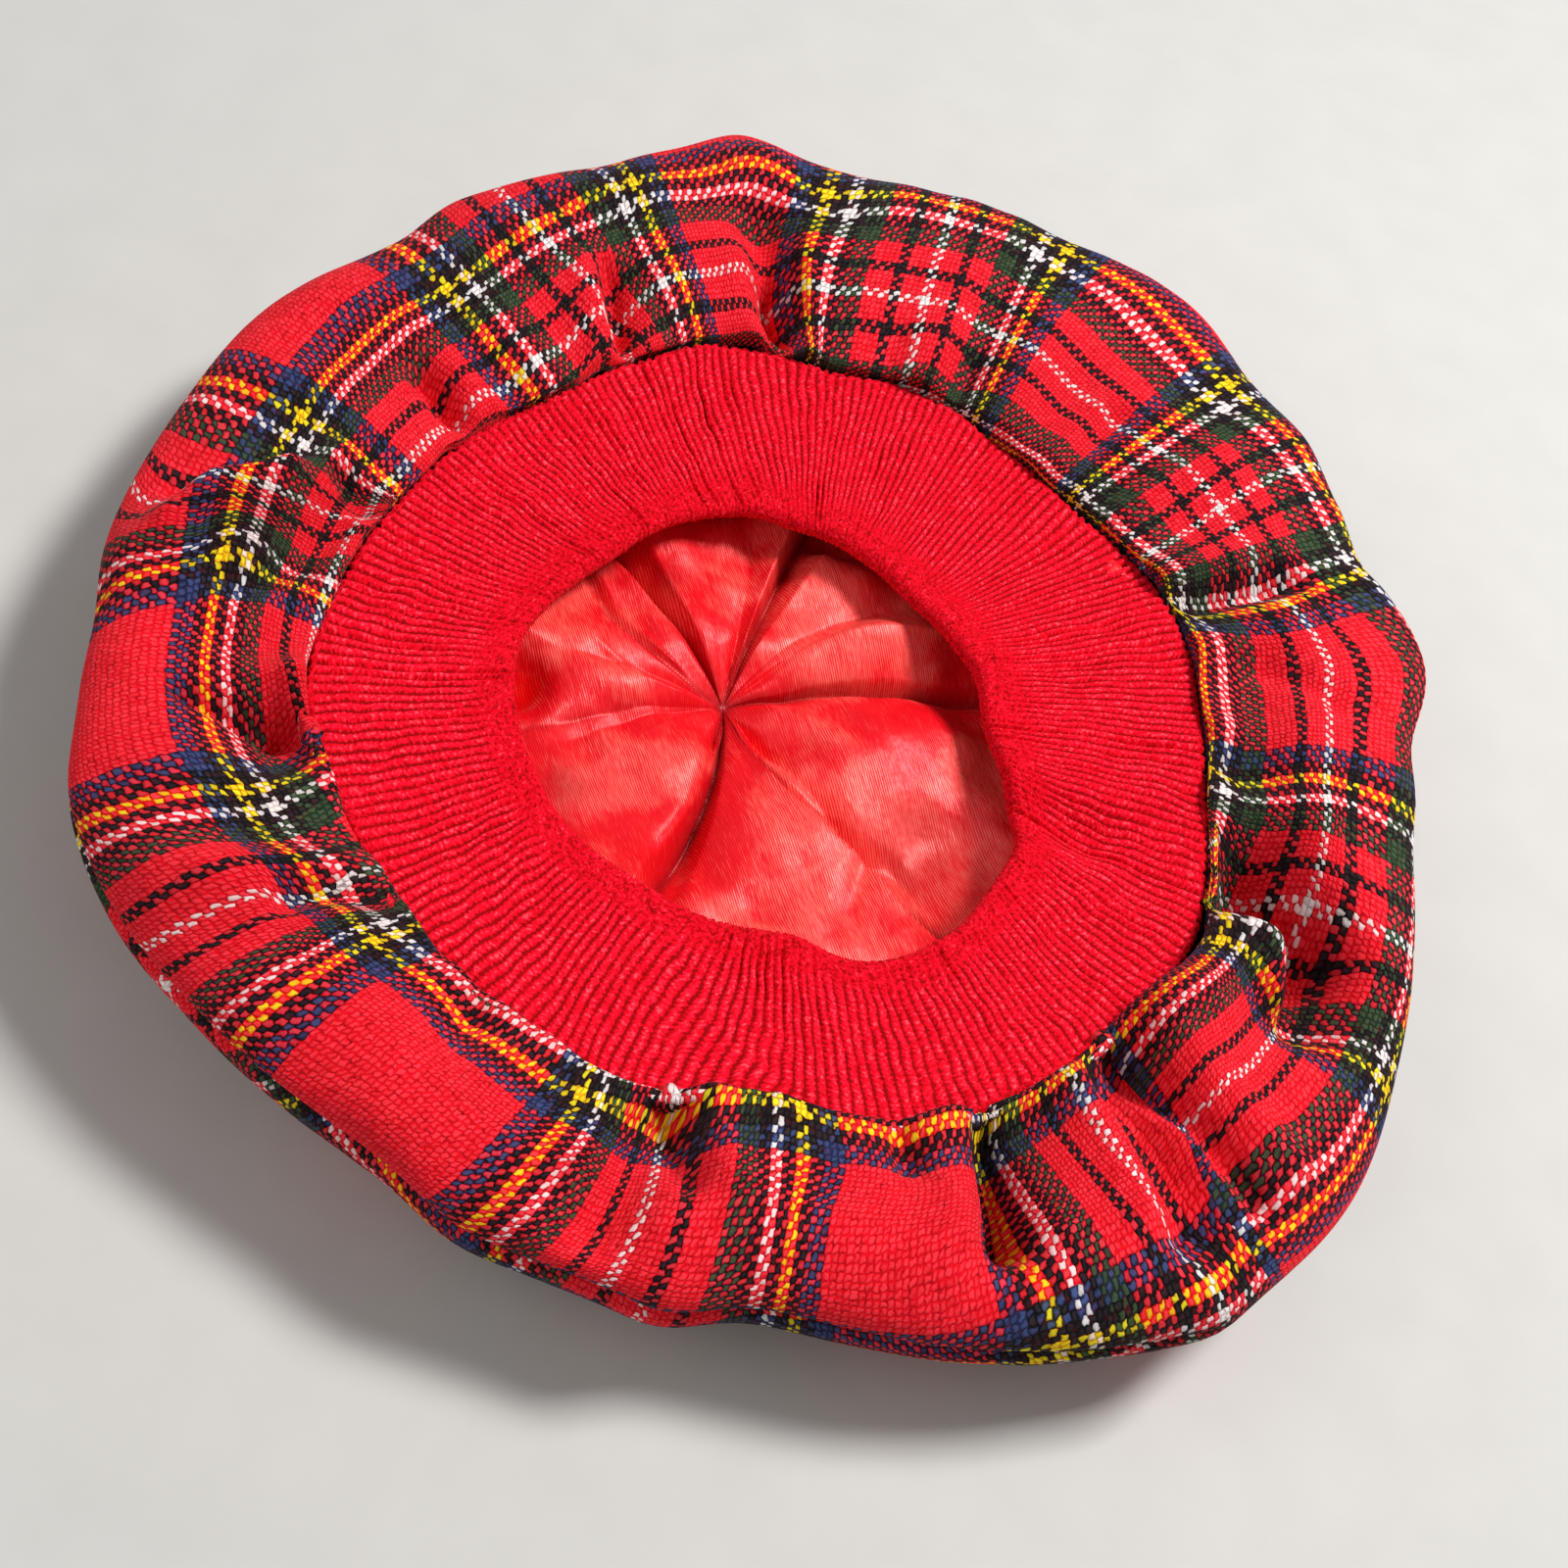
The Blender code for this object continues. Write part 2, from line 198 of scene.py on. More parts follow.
LINING_CREASES = {
    "right": Crease(28, 0.070, 9, 0.0060),
    "far_right": Crease(57, 0.060, 7, 0.0040),
    "far": Crease(101, 0.055, 8, 0.0060),
    "far_left": Crease(144, 0.055, 7, 0.0060),
    "left": Crease(195, 0.050, 8, 0.0050),
    "near_left": Crease(226, 0.045, 7, 0.0030),
    "near": Crease(277, 0.060, 8, 0.0075),
    "near_right": Crease(328, 0.075, 8, 0.0075),
}

# ---------------------------------------------------------------- what the CAD leaves to the scene

# Smaller corners of the rim.
FINE_BULGES = (
    Bulge(13, 6, 0.0032),
    Bulge(115, 3.5, 0.0044),
    Bulge(318, 3.5, 0.0018),
)

# Finer folds of the ring, of the same kind as the main ones: sharp valleys and the lips beside them.
FINE_FOLDS = {
    "top_slit": Fold(112, 0.084, 113, 0.103, 0.0024, -0.0055, 0.0),
    "top_slit_lip": Fold(108.5, 0.086, 110, 0.106, 0.0040, 0.0032, 0.0),
    "top_slit_far_lip": Fold(116, 0.086, 117, 0.104, 0.0045, 0.0024, 0.0),
    "second_slit": Fold(137, 0.083, 134, 0.105, 0.0022, -0.0050, 0.0),
    "second_slit_lip": Fold(140, 0.086, 137, 0.106, 0.0040, 0.0024, 0.0),
    "third_slit": Fold(165, 0.085, 163, 0.101, 0.0022, -0.0038, 0.0),
    "third_slit_lip": Fold(169, 0.087, 167, 0.101, 0.0038, 0.0020, 0.0),
    "left_notch": Fold(184, 0.088, 183, 0.099, 0.0024, -0.0045, 0.0),
    "left_pleat": Fold(187, 0.108, 196, 0.127, 0.0036, 0.0040, 0.0),
    "left_pleat_shade": Fold(182, 0.106, 191, 0.126, 0.0034, -0.0030, 0.0),
    "left_crease_line": Fold(215, 0.102, 212, 0.122, 0.0024, -0.0060, 0.0),
    "left_crease_lip": Fold(210, 0.104, 208, 0.118, 0.0048, 0.0045, 0.0),
    "near_left_line": Fold(238, 0.104, 236, 0.121, 0.0026, -0.0045, 0.0),
    "near_left_lip": Fold(234, 0.108, 231, 0.130, 0.0050, 0.0022, 0.0),
    "right_line": Fold(39, 0.084, 36, 0.112, 0.0024, -0.0038, 0.0),
    "right_line_lip": Fold(42.5, 0.086, 39.5, 0.110, 0.0040, 0.0020, 0.0),
    "hollow_floor": Fold(358, 0.099, 350, 0.116, 0.0065, -0.0120, 0.0),
    "hollow_wall": Fold(352, 0.103, 346, 0.112, 0.0040, -0.0055, 0.0),
    "curl_tip": Fold(346, 0.100, 341, 0.110, 0.0046, 0.0085, 0.0030),
    "corner_line": Fold(324, 0.099, 324, 0.138, 0.0022, -0.0050, 0.0),
    "corner_lip": Fold(328, 0.101, 328, 0.136, 0.0045, 0.0040, -0.0010),
    "corner_fill": Fold(317, 0.104, 316, 0.130, 0.0060, 0.0045, 0.0),
    "near_pinch_line": Fold(253, 0.101, 253, 0.110, 0.0024, -0.0014, 0.0),
    "near_pinch_fill": Fold(253, 0.104, 254, 0.114, 0.0060, 0.0026, 0.0),
    "near_tuck_line": Fold(273, 0.102, 277, 0.119, 0.0024, -0.0042, 0.0),
    "near_tuck_lip": Fold(277, 0.102, 281, 0.117, 0.0042, 0.0032, 0.0),
    "near_notch_line": Fold(297, 0.101, 297, 0.110, 0.0022, -0.0030, 0.0),
    "near_gather_line": Fold(307, 0.100, 304, 0.126, 0.0026, -0.0075, 0.0),
    "near_gather_lip": Fold(302, 0.101, 300, 0.123, 0.0052, 0.0034, 0.0),
    "far_right_dent": Fold(65, 0.081, 65, 0.099, 0.0032, -0.0032, 0.0),
    "far_dent": Fold(85, 0.081, 85, 0.093, 0.0026, -0.0030, 0.0),
    "far_peak": Fold(113, 0.112, 114, 0.134, 0.0080, 0.0014, 0.0),
    "right_small_line": Fold(26, 0.100, 20, 0.112, 0.0030, -0.0022, 0.0),
}

# Dents and swells of the band.
BAND_DENTS = {
    "mouth_pinch": Fold(350, 0.046, 352, 0.066, 0.0050, -0.0030, 0.0),
    "mouth_pinch_far": Fold(0, 0.048, 4, 0.074, 0.0060, 0.0010, 0.0),
    "far_swell": Fold(105, 0.045, 108, 0.070, 0.0110, 0.0010, 0.0),
    "right_shade": Fold(356, 0.072, 354, 0.088, 0.0070, -0.0014, 0.0),
}


class Pleat(NamedTuple):
    """A pleat of the lining: its direction from the pinch near it and at its end, how far out it
    starts and ends, its half width in degrees, and its height, negative for a valley."""

    near_angle: float
    end_angle: float
    start: float
    reach: float
    half_angle: float
    height: float

    def direction(self, part: Any) -> Any:
        """Its direction a part of the way out, 0 to 1."""
        return self.near_angle + part * (self.end_angle - self.near_angle)


class Dent(NamedTuple):
    """A hollow of the lining: its direction and distance from the pinch, radius and depth."""

    angle: float
    distance: float
    radius: float
    depth: float


LINING_PLEATS = {
    "crinkled_tuck": Pleat(329, 325, 0.046, 0.070, 2.4, 0.0034),
    "tuck_valley": Pleat(334, 331, 0.046, 0.070, 3.0, -0.0020),
    "near_soft_valley": Pleat(328, 304, 0.044, 0.066, 5.0, -0.0026),
    "far_left_streak": Pleat(176, 151.5, 0.008, 0.046, 1.6, 0.0010),
    "left_streak": Pleat(207, 175, 0.012, 0.040, 2.4, 0.0008),
    "near_streak": Pleat(280, 266, 0.012, 0.052, 1.6, -0.0010),
}

LINING_DENTS = {
    "right_basin": Dent(343, 0.054, 0.012, 0.0050),
    "top_hole": Dent(80, 0.052, 0.0070, 0.0120),
    "left_hole": Dent(205, 0.0445, 0.0055, 0.0110),
    "near_soft_hollow": Dent(294, 0.053, 0.0080, 0.0016),
    "right_crumple": Dent(8, 0.058, 0.0050, 0.0012),
    "right_second_crumple": Dent(356, 0.066, 0.0040, 0.0014),
}


class Shade(NamedTuple):
    """A place of the lining with painted shade: its direction and distance from the pinch, radius and
    darkness.
    """

    angle: float
    distance: float
    radius: float
    dark: float


# Places of the lining darkened with painted shade.
LINING_SHADES = (
    Shade(342, 0.053, 0.0130, 0.50),
    Shade(137, 0.030, 0.0050, 0.40),
    Shade(240, 0.044, 0.0060, 0.45),
)


class Edge(NamedTuple):
    """A line that the lining is folded along from its pinch: its direction near the pinch and at
    its end, and its height. Between two lines the satin is flat."""

    near_angle: float
    end_angle: float
    height: float

    def direction(self, part: Any) -> Any:
        """Its direction a part of the way out, 0 to 1."""
        return self.near_angle + part * (self.end_angle - self.near_angle)


# Rising in angle all the way round; a groove stands between a low side and an overhanging edge.
LINING_EDGES = (
    Edge(8, -8, 0.0012),
    Edge(28, 22.5, -0.0004),
    Edge(33, 26.5, -0.0036),
    Edge(36, 29, 0.0006),
    Edge(66, 41, 0.0044),
    Edge(73, 52, 0.0006),
    Edge(84, 79, 0.0014),
    Edge(92, 88, -0.0038),
    Edge(96, 91.5, 0.0030),
    Edge(120, 118, 0.0006),
    Edge(136, 136, 0.0020),
    Edge(143, 144.5, -0.0036),
    Edge(148, 149, 0.0018),
    Edge(188, 152.5, -0.0026),
    Edge(196, 157, 0.0014),
    Edge(213, 189, 0.0026),
    Edge(221, 219, -0.0014),
    Edge(236, 238, 0.0012),
    Edge(284, 268, 0.0030),
    Edge(289, 273, -0.0044),
    Edge(292, 279, -0.0006),
    Edge(297, 308, 0.0014),
    Edge(300, 324, 0.0036),
    Edge(304, 328.5, -0.0038),
    Edge(309, 336, -0.0006),
)


class Stripe(NamedTuple):
    """A thread that runs across the ring: its count, and its angle at four even reaches."""

    thread: float
    at_band: float
    lower: float
    upper: float
    at_rim: float


class Across(NamedTuple):
    """Count of the thread that runs along the ring, at four even reaches of one place."""

    at_band: float
    lower: float
    upper: float
    at_rim: float


# The ring's cloth, from the seam of the strip's ends round to that seam again, turning clockwise.
STRIPES = (
    Stripe(-175, 325, 323.5, 321, 322.5),
    Stripe(-164, 316, 314.3, 316.5, 318),
    Stripe(-145, 308, 307, 307.3, 308.7),
    Stripe(-136, 305.5, 304, 301.8, 302.5),
    Stripe(-110, 290, 290, 288, 288),
    Stripe(-101, 284, 284, 284, 284),
    Stripe(-82, 274, 274, 274, 273),
    Stripe(-63, 267, 268, 267, 265),
    Stripe(-54, 263, 263, 262, 260),
    Stripe(-28, 245, 245, 245, 245),
    Stripe(-21, 241, 241, 241, 241),
    Stripe(0, 235.5, 236.8, 234.3, 232.3),
    Stripe(19, 222, 226, 225, 224),
    Stripe(23, 219, 224, 223, 221.5),
    Stripe(59, 199.5, 196, 200, 203),
    Stripe(63, 196.5, 193.5, 199.3, 200.5),
    Stripe(82, 181.5, 190, 194, 187.5),
    Stripe(101, 182, 182, 180, 179),
    Stripe(105, 179.5, 178, 177.2, 176.5),
    Stripe(141, 153, 154, 153, 152),
    Stripe(145, 150, 151, 150, 149),
    Stripe(164, 135, 138.5, 140.3, 139),
    Stripe(183, 127, 129, 129.5, 130),
    Stripe(187, 124, 126.5, 127.5, 127),
    Stripe(223, 107.5, 109.5, 107, 105),
    Stripe(227, 107.5, 106.5, 104, 102.5),
    Stripe(246, 93, 94, 94, 94),
    Stripe(265, 82.5, 83.5, 84.5, 84),
    Stripe(269, 81, 82, 82, 82),
    Stripe(305, 61, 60.5, 60.5, 61),
    Stripe(309, 60, 58.5, 58.5, 59),
    Stripe(328, 46, 48, 49, 50),
    Stripe(347, 39.5, 37.5, 37.5, 41),
    Stripe(351, 38, 33.5, 35.7, 39),
    Stripe(387, 10, 10, 9.5, 10),
    Stripe(391, 5.5, 6, 7, 7.5),
    Stripe(410, -1, -2, -5.5, -4.5),
    Stripe(429, -14, -17.5, -16.5, -16.3),
    Stripe(433, -22, -20.7, -19, -19),
    Stripe(465, -35, -36.5, -39, -37.5),
)

# One row each 15 degrees of that turn, from the seam of the strip's ends.
ACROSS = (
    Across(-22, -38, -55, -68),
    Across(-21, -34, -50, -61),
    Across(-21, -30, -42, -54),
    Across(-22, -29, -41, -54),
    Across(-19, -26, -40, -53),
    Across(-17, -28, -40, -51),
    Across(-13, -22, -36, -50),
    Across(-8, -20, -32, -46),
    Across(1, -17, -31, -42),
    Across(4, -17, -31, -43),
    Across(4, -15, -30, -43),
    Across(4, -13, -28, -41),
    Across(7, -11, -26, -39),
    Across(10, -6, -22, -36),
    Across(12, -5, -24, -38),
    Across(13, -3, -19, -33),
    Across(16, -3, -19.5, -34),
    Across(21, -5, -22, -35),
    Across(21, 1, -18, -32),
    Across(24, 2, -15, -26),
    Across(24, 8, -7.5, -21),
    Across(22.5, 8, -9.5, -22),
    Across(21.5, 7, -9.5, -27),
    Across(27, 6, -13, -32),
    Across(27, 5, -16, -35),
)

FIELD_THREADS = 24          # threads that each red field counts in the stripes' table


class Field(NamedTuple):
    """A red field of the ring: the thread it starts at, and its threads beyond those counted."""

    start: int
    extra: int


FIELDS = (
    Field(-53, 6),
    Field(29, 10),
    Field(111, 6),
    Field(193, 2),
    Field(275, 2),
    Field(357, 5),
)

# ---------------------------------------------------------------- sums on arrays

WAVES = 14                      # waves that make up one unevenness
WAVE_LENGTHS = (0.6, 1.7)       # shortest and longest of them, as shares of the middle length


class Wave(NamedTuple):
    """A soft unevenness: its height, the seed of its pattern, and the middle length of its waves."""

    height: float
    seed: int
    length: float


class Turns(NamedTuple):
    """Waves round the hat: how many, and how far and how often their phase sways, in degrees."""

    count: float
    sway: float
    sways: float

    def phase(self, angle: np.ndarray) -> np.ndarray:
        """The waves' phase at angles, in radians."""
        return np.radians(self.count * angle + self.sway * np.sin(np.radians(self.sways * angle)))


def spline(before: Any, here: Any, after: Any, beyond: Any, part: Any) -> Any:
    """A smooth curve's value, a part of the way from here to after.

    Args:
        before: Value one row earlier.
        here: Value at part 0.
        after: Value at part 1.
        beyond: Value one row later.
        part: How far from here to after, 0 to 1.

    Returns:
        The value there.
    """
    bend = 2 * before - 5 * here + 4 * after - beyond
    twist = 3 * (here - after) + beyond - before
    return here + 0.5 * part * (after - before + part * (bend + part * twist))


def around(table: Sequence[tuple], angle: np.ndarray) -> Any:
    """Rows of a table at angles, by a smooth curve through its even rows, which closes.

    Args:
        table: The rows, even round a full turn.
        angle: Angles in degrees.

    Returns:
        One row of the table's kind, that holds an array in each field.
    """
    place = np.mod(angle, FULL_TURN) / FULL_TURN * len(table)
    index = np.floor(place).astype(int)
    part = place - index
    values = np.array(table)
    rows = [values[np.mod(index + step, len(table))] for step in (-1, 0, 1, 2)]
    fields = range(values.shape[1])
    return type(table[0])(*(spline(*(row[..., k] for row in rows), part) for k in fields))


def even(values: np.ndarray, share: np.ndarray) -> np.ndarray:
    """Values at shares 0 to 1 along rows that are even and end there.

    Args:
        values: Array whose first axis is the even rows.
        share: How far along, one number for each place.

    Returns:
        The value at each share, from a smooth curve.
    """
    last = len(values) - 1
    padded = np.concatenate([2 * values[:1] - values[1:2], values, 2 * values[-1:] - values[-2:-1]])
    place = np.clip(share, 0.0, 1.0) * last
    index = np.minimum(place.astype(int), last - 1)
    part = place - index
    part = part.reshape(part.shape + (1,) * (values.ndim - 1))
    return spline(*(padded[index + step] for step in range(4)), part)


def smooth(value: Any, low: float, high: float) -> Any:
    """0 below low and 1 above high, with an S curve between."""
    part = np.clip((value - low) / (high - low), 0.0, 1.0)
    return part * part * (3 - 2 * part)


def rising(value: Any, end: float, least: float) -> Any:
    """From least at 0 up to 1 at the end and beyond, with an S curve between."""
    return smooth(value, 0.0, end) * (1 - least) + least


def bell(off: Any, half_width: Any, power: float = 2.0) -> Any:
    """1 in the middle, and falling to both sides with the distance off."""
    return np.exp(-(np.abs(off / half_width) ** power))


def hermite(start: Any, end: Any, start_slope: Any, end_slope: Any, part: Any) -> Any:
    """Height a part of the way along a run of length 1.

    Args:
        start: Height at its start.
        end: Height at its end.
        start_slope: Slope at its start.
        end_slope: Slope at its end.
        part: How far along, 0 to 1.

    Returns:
        The height there.
    """
    square, cube = part * part, part * part * part
    return (
        start * (2 * cube - 3 * square + 1)
        + start_slope * (cube - 2 * square + part)
        + end * (3 * square - 2 * cube)
        + end_slope * (cube - square)
    )


def plan(radius: Any, angle: Any) -> tuple[Any, Any]:
    """Places along X and Y at a radius and an angle in degrees."""
    return radius * np.cos(np.radians(angle)), radius * np.sin(np.radians(angle))


def stack(x: Any, y: Any, z: Any) -> np.ndarray:
    """Points from their three coordinates."""
    return np.stack(np.broadcast_arrays(x, y, z), axis=-1)


def turn_between(angle: Any, other: Any) -> Any:
    """Degrees from other to angle, from -180 to 180."""
    return np.mod(angle - other + FULL_TURN / 2, FULL_TURN) - FULL_TURN / 2


def runs(points: np.ndarray) -> np.ndarray:
    """Length of the surface from each column's first point to its others."""
    steps = np.linalg.norm(np.diff(points, axis=1), axis=2)
    return np.concatenate([np.zeros((len(points), 1)), np.cumsum(steps, axis=1)], axis=1)


def fold_shift(x: np.ndarray, y: np.ndarray, folds: dict[str, Fold]) -> tuple:
    """Lift and sideways push that folds give plan points.

    Args:
        x: Plan places along X.
        y: Plan places along Y.
        folds: The folds by name.

    Returns:
        Lift, push along X and push along Y.
    """
    lift, push_x, push_y = np.zeros_like(x), np.zeros_like(x), np.zeros_like(x)
    for fold in folds.values():
        start = plan(fold.from_radius, fold.from_angle)
        end = plan(fold.to_radius, fold.to_angle)
        length = math.dist(start, end)
        unit = (end[0] - start[0]) / length, (end[1] - start[1]) / length
        along = np.clip((x - start[0]) * unit[0] + (y - start[1]) * unit[1], 0.0, length)
        distance = np.hypot(x - start[0] - along * unit[0], y - start[1] - along * unit[1])
        strength = bell(distance, fold.half_width)
        lift += fold.lift * strength
        push_x += fold.lean * strength * unit[0]
        push_y += fold.lean * strength * unit[1]
    return lift, push_x, push_y


def rim_radius(angle: np.ndarray) -> np.ndarray:
    """The rim's plan radius at angles, with its corners.

    Args:
        angle: Angles in degrees.

    Returns:
        The radius at each.
    """
    radius = around(RIM, angle).radius
    for bulge in (*RIM_BULGES, *FINE_BULGES):
        radius = radius + bulge.push * bell(turn_between(angle, bulge.angle), bulge.half_width)
    return radius


def with_full_fields(threads: np.ndarray) -> np.ndarray:
    """Thread counts along the ring, with all threads of the red fields counted in.

    Args:
        threads: Counts as the stripes' table has them.

    Returns:
        The full counts.
    """
    counted = threads.copy()
    for red in FIELDS:
        counted += red.extra * np.clip((threads - red.start) / FIELD_THREADS, 0.0, 1.0)
    return counted


def ripple(x: np.ndarray, y: np.ndarray, *kinds: Wave) -> np.ndarray:
    """Soft unevenness of cloth, from waves that run in all directions.

    Args:
        x: Places along X.
        y: Places along Y.
        kinds: The kinds of unevenness that add up.

    Returns:
        The height at each place.
    """
    total = np.zeros_like(x)
    for kind in kinds:
        draw = np.random.default_rng(kind.seed)
        for _ in range(WAVES):
            heading = draw.uniform(0, math.pi)
            length = kind.length * draw.uniform(*WAVE_LENGTHS)
            across = x * math.cos(heading) + y * math.sin(heading)
            wave = np.sin(math.tau * (across / length + draw.uniform()))
            total = total + kind.height / math.sqrt(WAVES) * wave
    return total


# ---------------------------------------------------------------- pieces from a grid


@dataclass
class Grid:
    """A flat grid of faces that is shaped into a sewn piece by moving its points.

    Args:
        name: The piece's name.
        columns: Faces along it.
        rows: Faces across it.
    """

    name: str
    columns: int
    rows: int
    piece: bpy.types.Object = field(init=False)
    column: np.ndarray = field(init=False)
    row: np.ndarray = field(init=False)

    def __post_init__(self) -> None:
        """Adds the grid and notes which column and row each point is in."""
        bpy.ops.object.select_all(action="DESELECT")
        bpy.ops.mesh.primitive_grid_add(x_subdivisions=self.columns, y_subdivisions=self.rows, size=1.0)
        self.piece = bpy.context.object
        self.piece.name = self.name
        self.piece.data.name = self.name
        places = np.empty(len(self.piece.data.vertices) * 3)
        self.piece.data.vertices.foreach_get("co", places)
        places = places.reshape(-1, 3)
        self.column = np.rint((places[:, 0] + 0.5) * self.columns).astype(int)
        self.row = np.rint((places[:, 1] + 0.5) * self.rows).astype(int)

    def shape(self, points: np.ndarray) -> None:
        """Moves the points to places given by column and row.

        Args:
            points: Array of columns + 1 by rows + 1 by 3.
        """
        places = points[self.column, self.row]
        self.piece.data.vertices.foreach_set("co", places.astype(np.float32).ravel())
        self.piece.data.update()

    def lay_pattern(self, layer_name: str, u: np.ndarray, v: np.ndarray) -> None:
        """Writes the place of each point on the cloth's pattern as a UV map.

        Args:
            layer_name: Name of the UV map.
            u: Pattern place along it, by column and row.
            v: Pattern place across it, by column and row.
        """
        mesh = self.piece.data
        if "UVMap" in mesh.uv_layers:
            mesh.uv_layers.remove(mesh.uv_layers["UVMap"])
        layer = mesh.uv_layers.new(name=layer_name)
        corner = np.empty(len(mesh.loops), np.int32)
        mesh.loops.foreach_get("vertex_index", corner)
        column, row = self.column[corner], self.row[corner]
        places = np.stack([u[column, row], v[column, row]], axis=1)
        layer.data.foreach_set("uv", places.astype(np.float32).ravel())

    def close(self) -> None:
        """Joins the edges and poles that meet."""
        bpy.ops.object.mode_set(mode="EDIT")
        bpy.ops.mesh.select_all(action="SELECT")
        bpy.ops.mesh.remove_doubles(threshold=DOUBLES)
        bpy.ops.object.mode_set(mode="OBJECT")
        bpy.ops.object.shade_smooth()

    def wall(self, thickness: float) -> None:
        """Gives the cloth its thickness, on the side away from its faces.

        Args:
            thickness: The wall's thickness in metres.
        """
        solidify = self.piece.modifiers.new("wall", "SOLIDIFY")
        solidify.thickness = thickness
        solidify.offset = -1.0
        solidify.use_even_offset = False
        bpy.ops.object.modifier_apply(modifier=solidify.name)


# ---------------------------------------------------------------- shader sums


class Grain(NamedTuple):
    """A noise pattern: its scale and its detail."""

    scale: float
    detail: float = 2.0


class Sheen(NamedTuple):
    """The soft shine of short fibres: its strength, its spread and its screen colour."""

    weight: float
    spread: float
    tint: tuple[int, int, int]


class Socket:
    """One output of a material's nodes, on which sums are written as on a number."""

    def __init__(self, nodes: "Nodes", output: bpy.types.NodeSocket) -> None:
        """Keeps the output and the nodes that it belongs to."""
        self.nodes = nodes
        self.output = output

    def math(self, operation: str, *others: Any) -> "Socket":
        """A Math node on this value and others."""
        values = dict(enumerate((self, *others)))
        return self.nodes.make("ShaderNodeMath", {"operation": operation}, values)[0]

    def __add__(self, other: Any) -> "Socket":
        """This value plus another."""
        return self.math("ADD", other)

    __radd__ = __add__

    def __sub__(self, other: Any) -> "Socket":
        """This value less another."""
        return self.math("SUBTRACT", other)

    def __rsub__(self, other: Any) -> "Socket":
        """Another value less this one."""
        return self.math("MULTIPLY", -1.0).math("ADD", other)

    def __mul__(self, other: Any) -> "Socket":
        """This value times another."""
        return self.math("MULTIPLY", other)

    __rmul__ = __mul__

    def __truediv__(self, other: Any) -> "Socket":
        """This value divided by another."""
        return self.math("DIVIDE", other)

    def __pow__(self, other: Any) -> "Socket":
        """This value to a power."""
        return self.math("POWER", other)

    def floor(self) -> "Socket":
        """The whole number below it."""
        return self.math("FLOOR")

    def size(self) -> "Socket":
        """The value without its sign."""
        return self.math("ABSOLUTE")

    def wrap(self, length: float) -> "Socket":
        """The value's rest after whole lengths, from 0 up to the length."""
        return self.math("FLOORED_MODULO", length)

    def clamp(self) -> "Socket":
        """The value kept between 0 and 1."""
        return self.math("MAXIMUM", 0.0).math("MINIMUM", 1.0)

    def step(self, low: float, high: float) -> "Socket":
        """0 below low, 1 above high and smooth between."""
        settings = {"interpolation_type": "SMOOTHSTEP"}
        return self.nodes.make("ShaderNodeMapRange", settings, {0: self, 1: low, 2: high, 3: 0.0, 4: 1.0})[0]


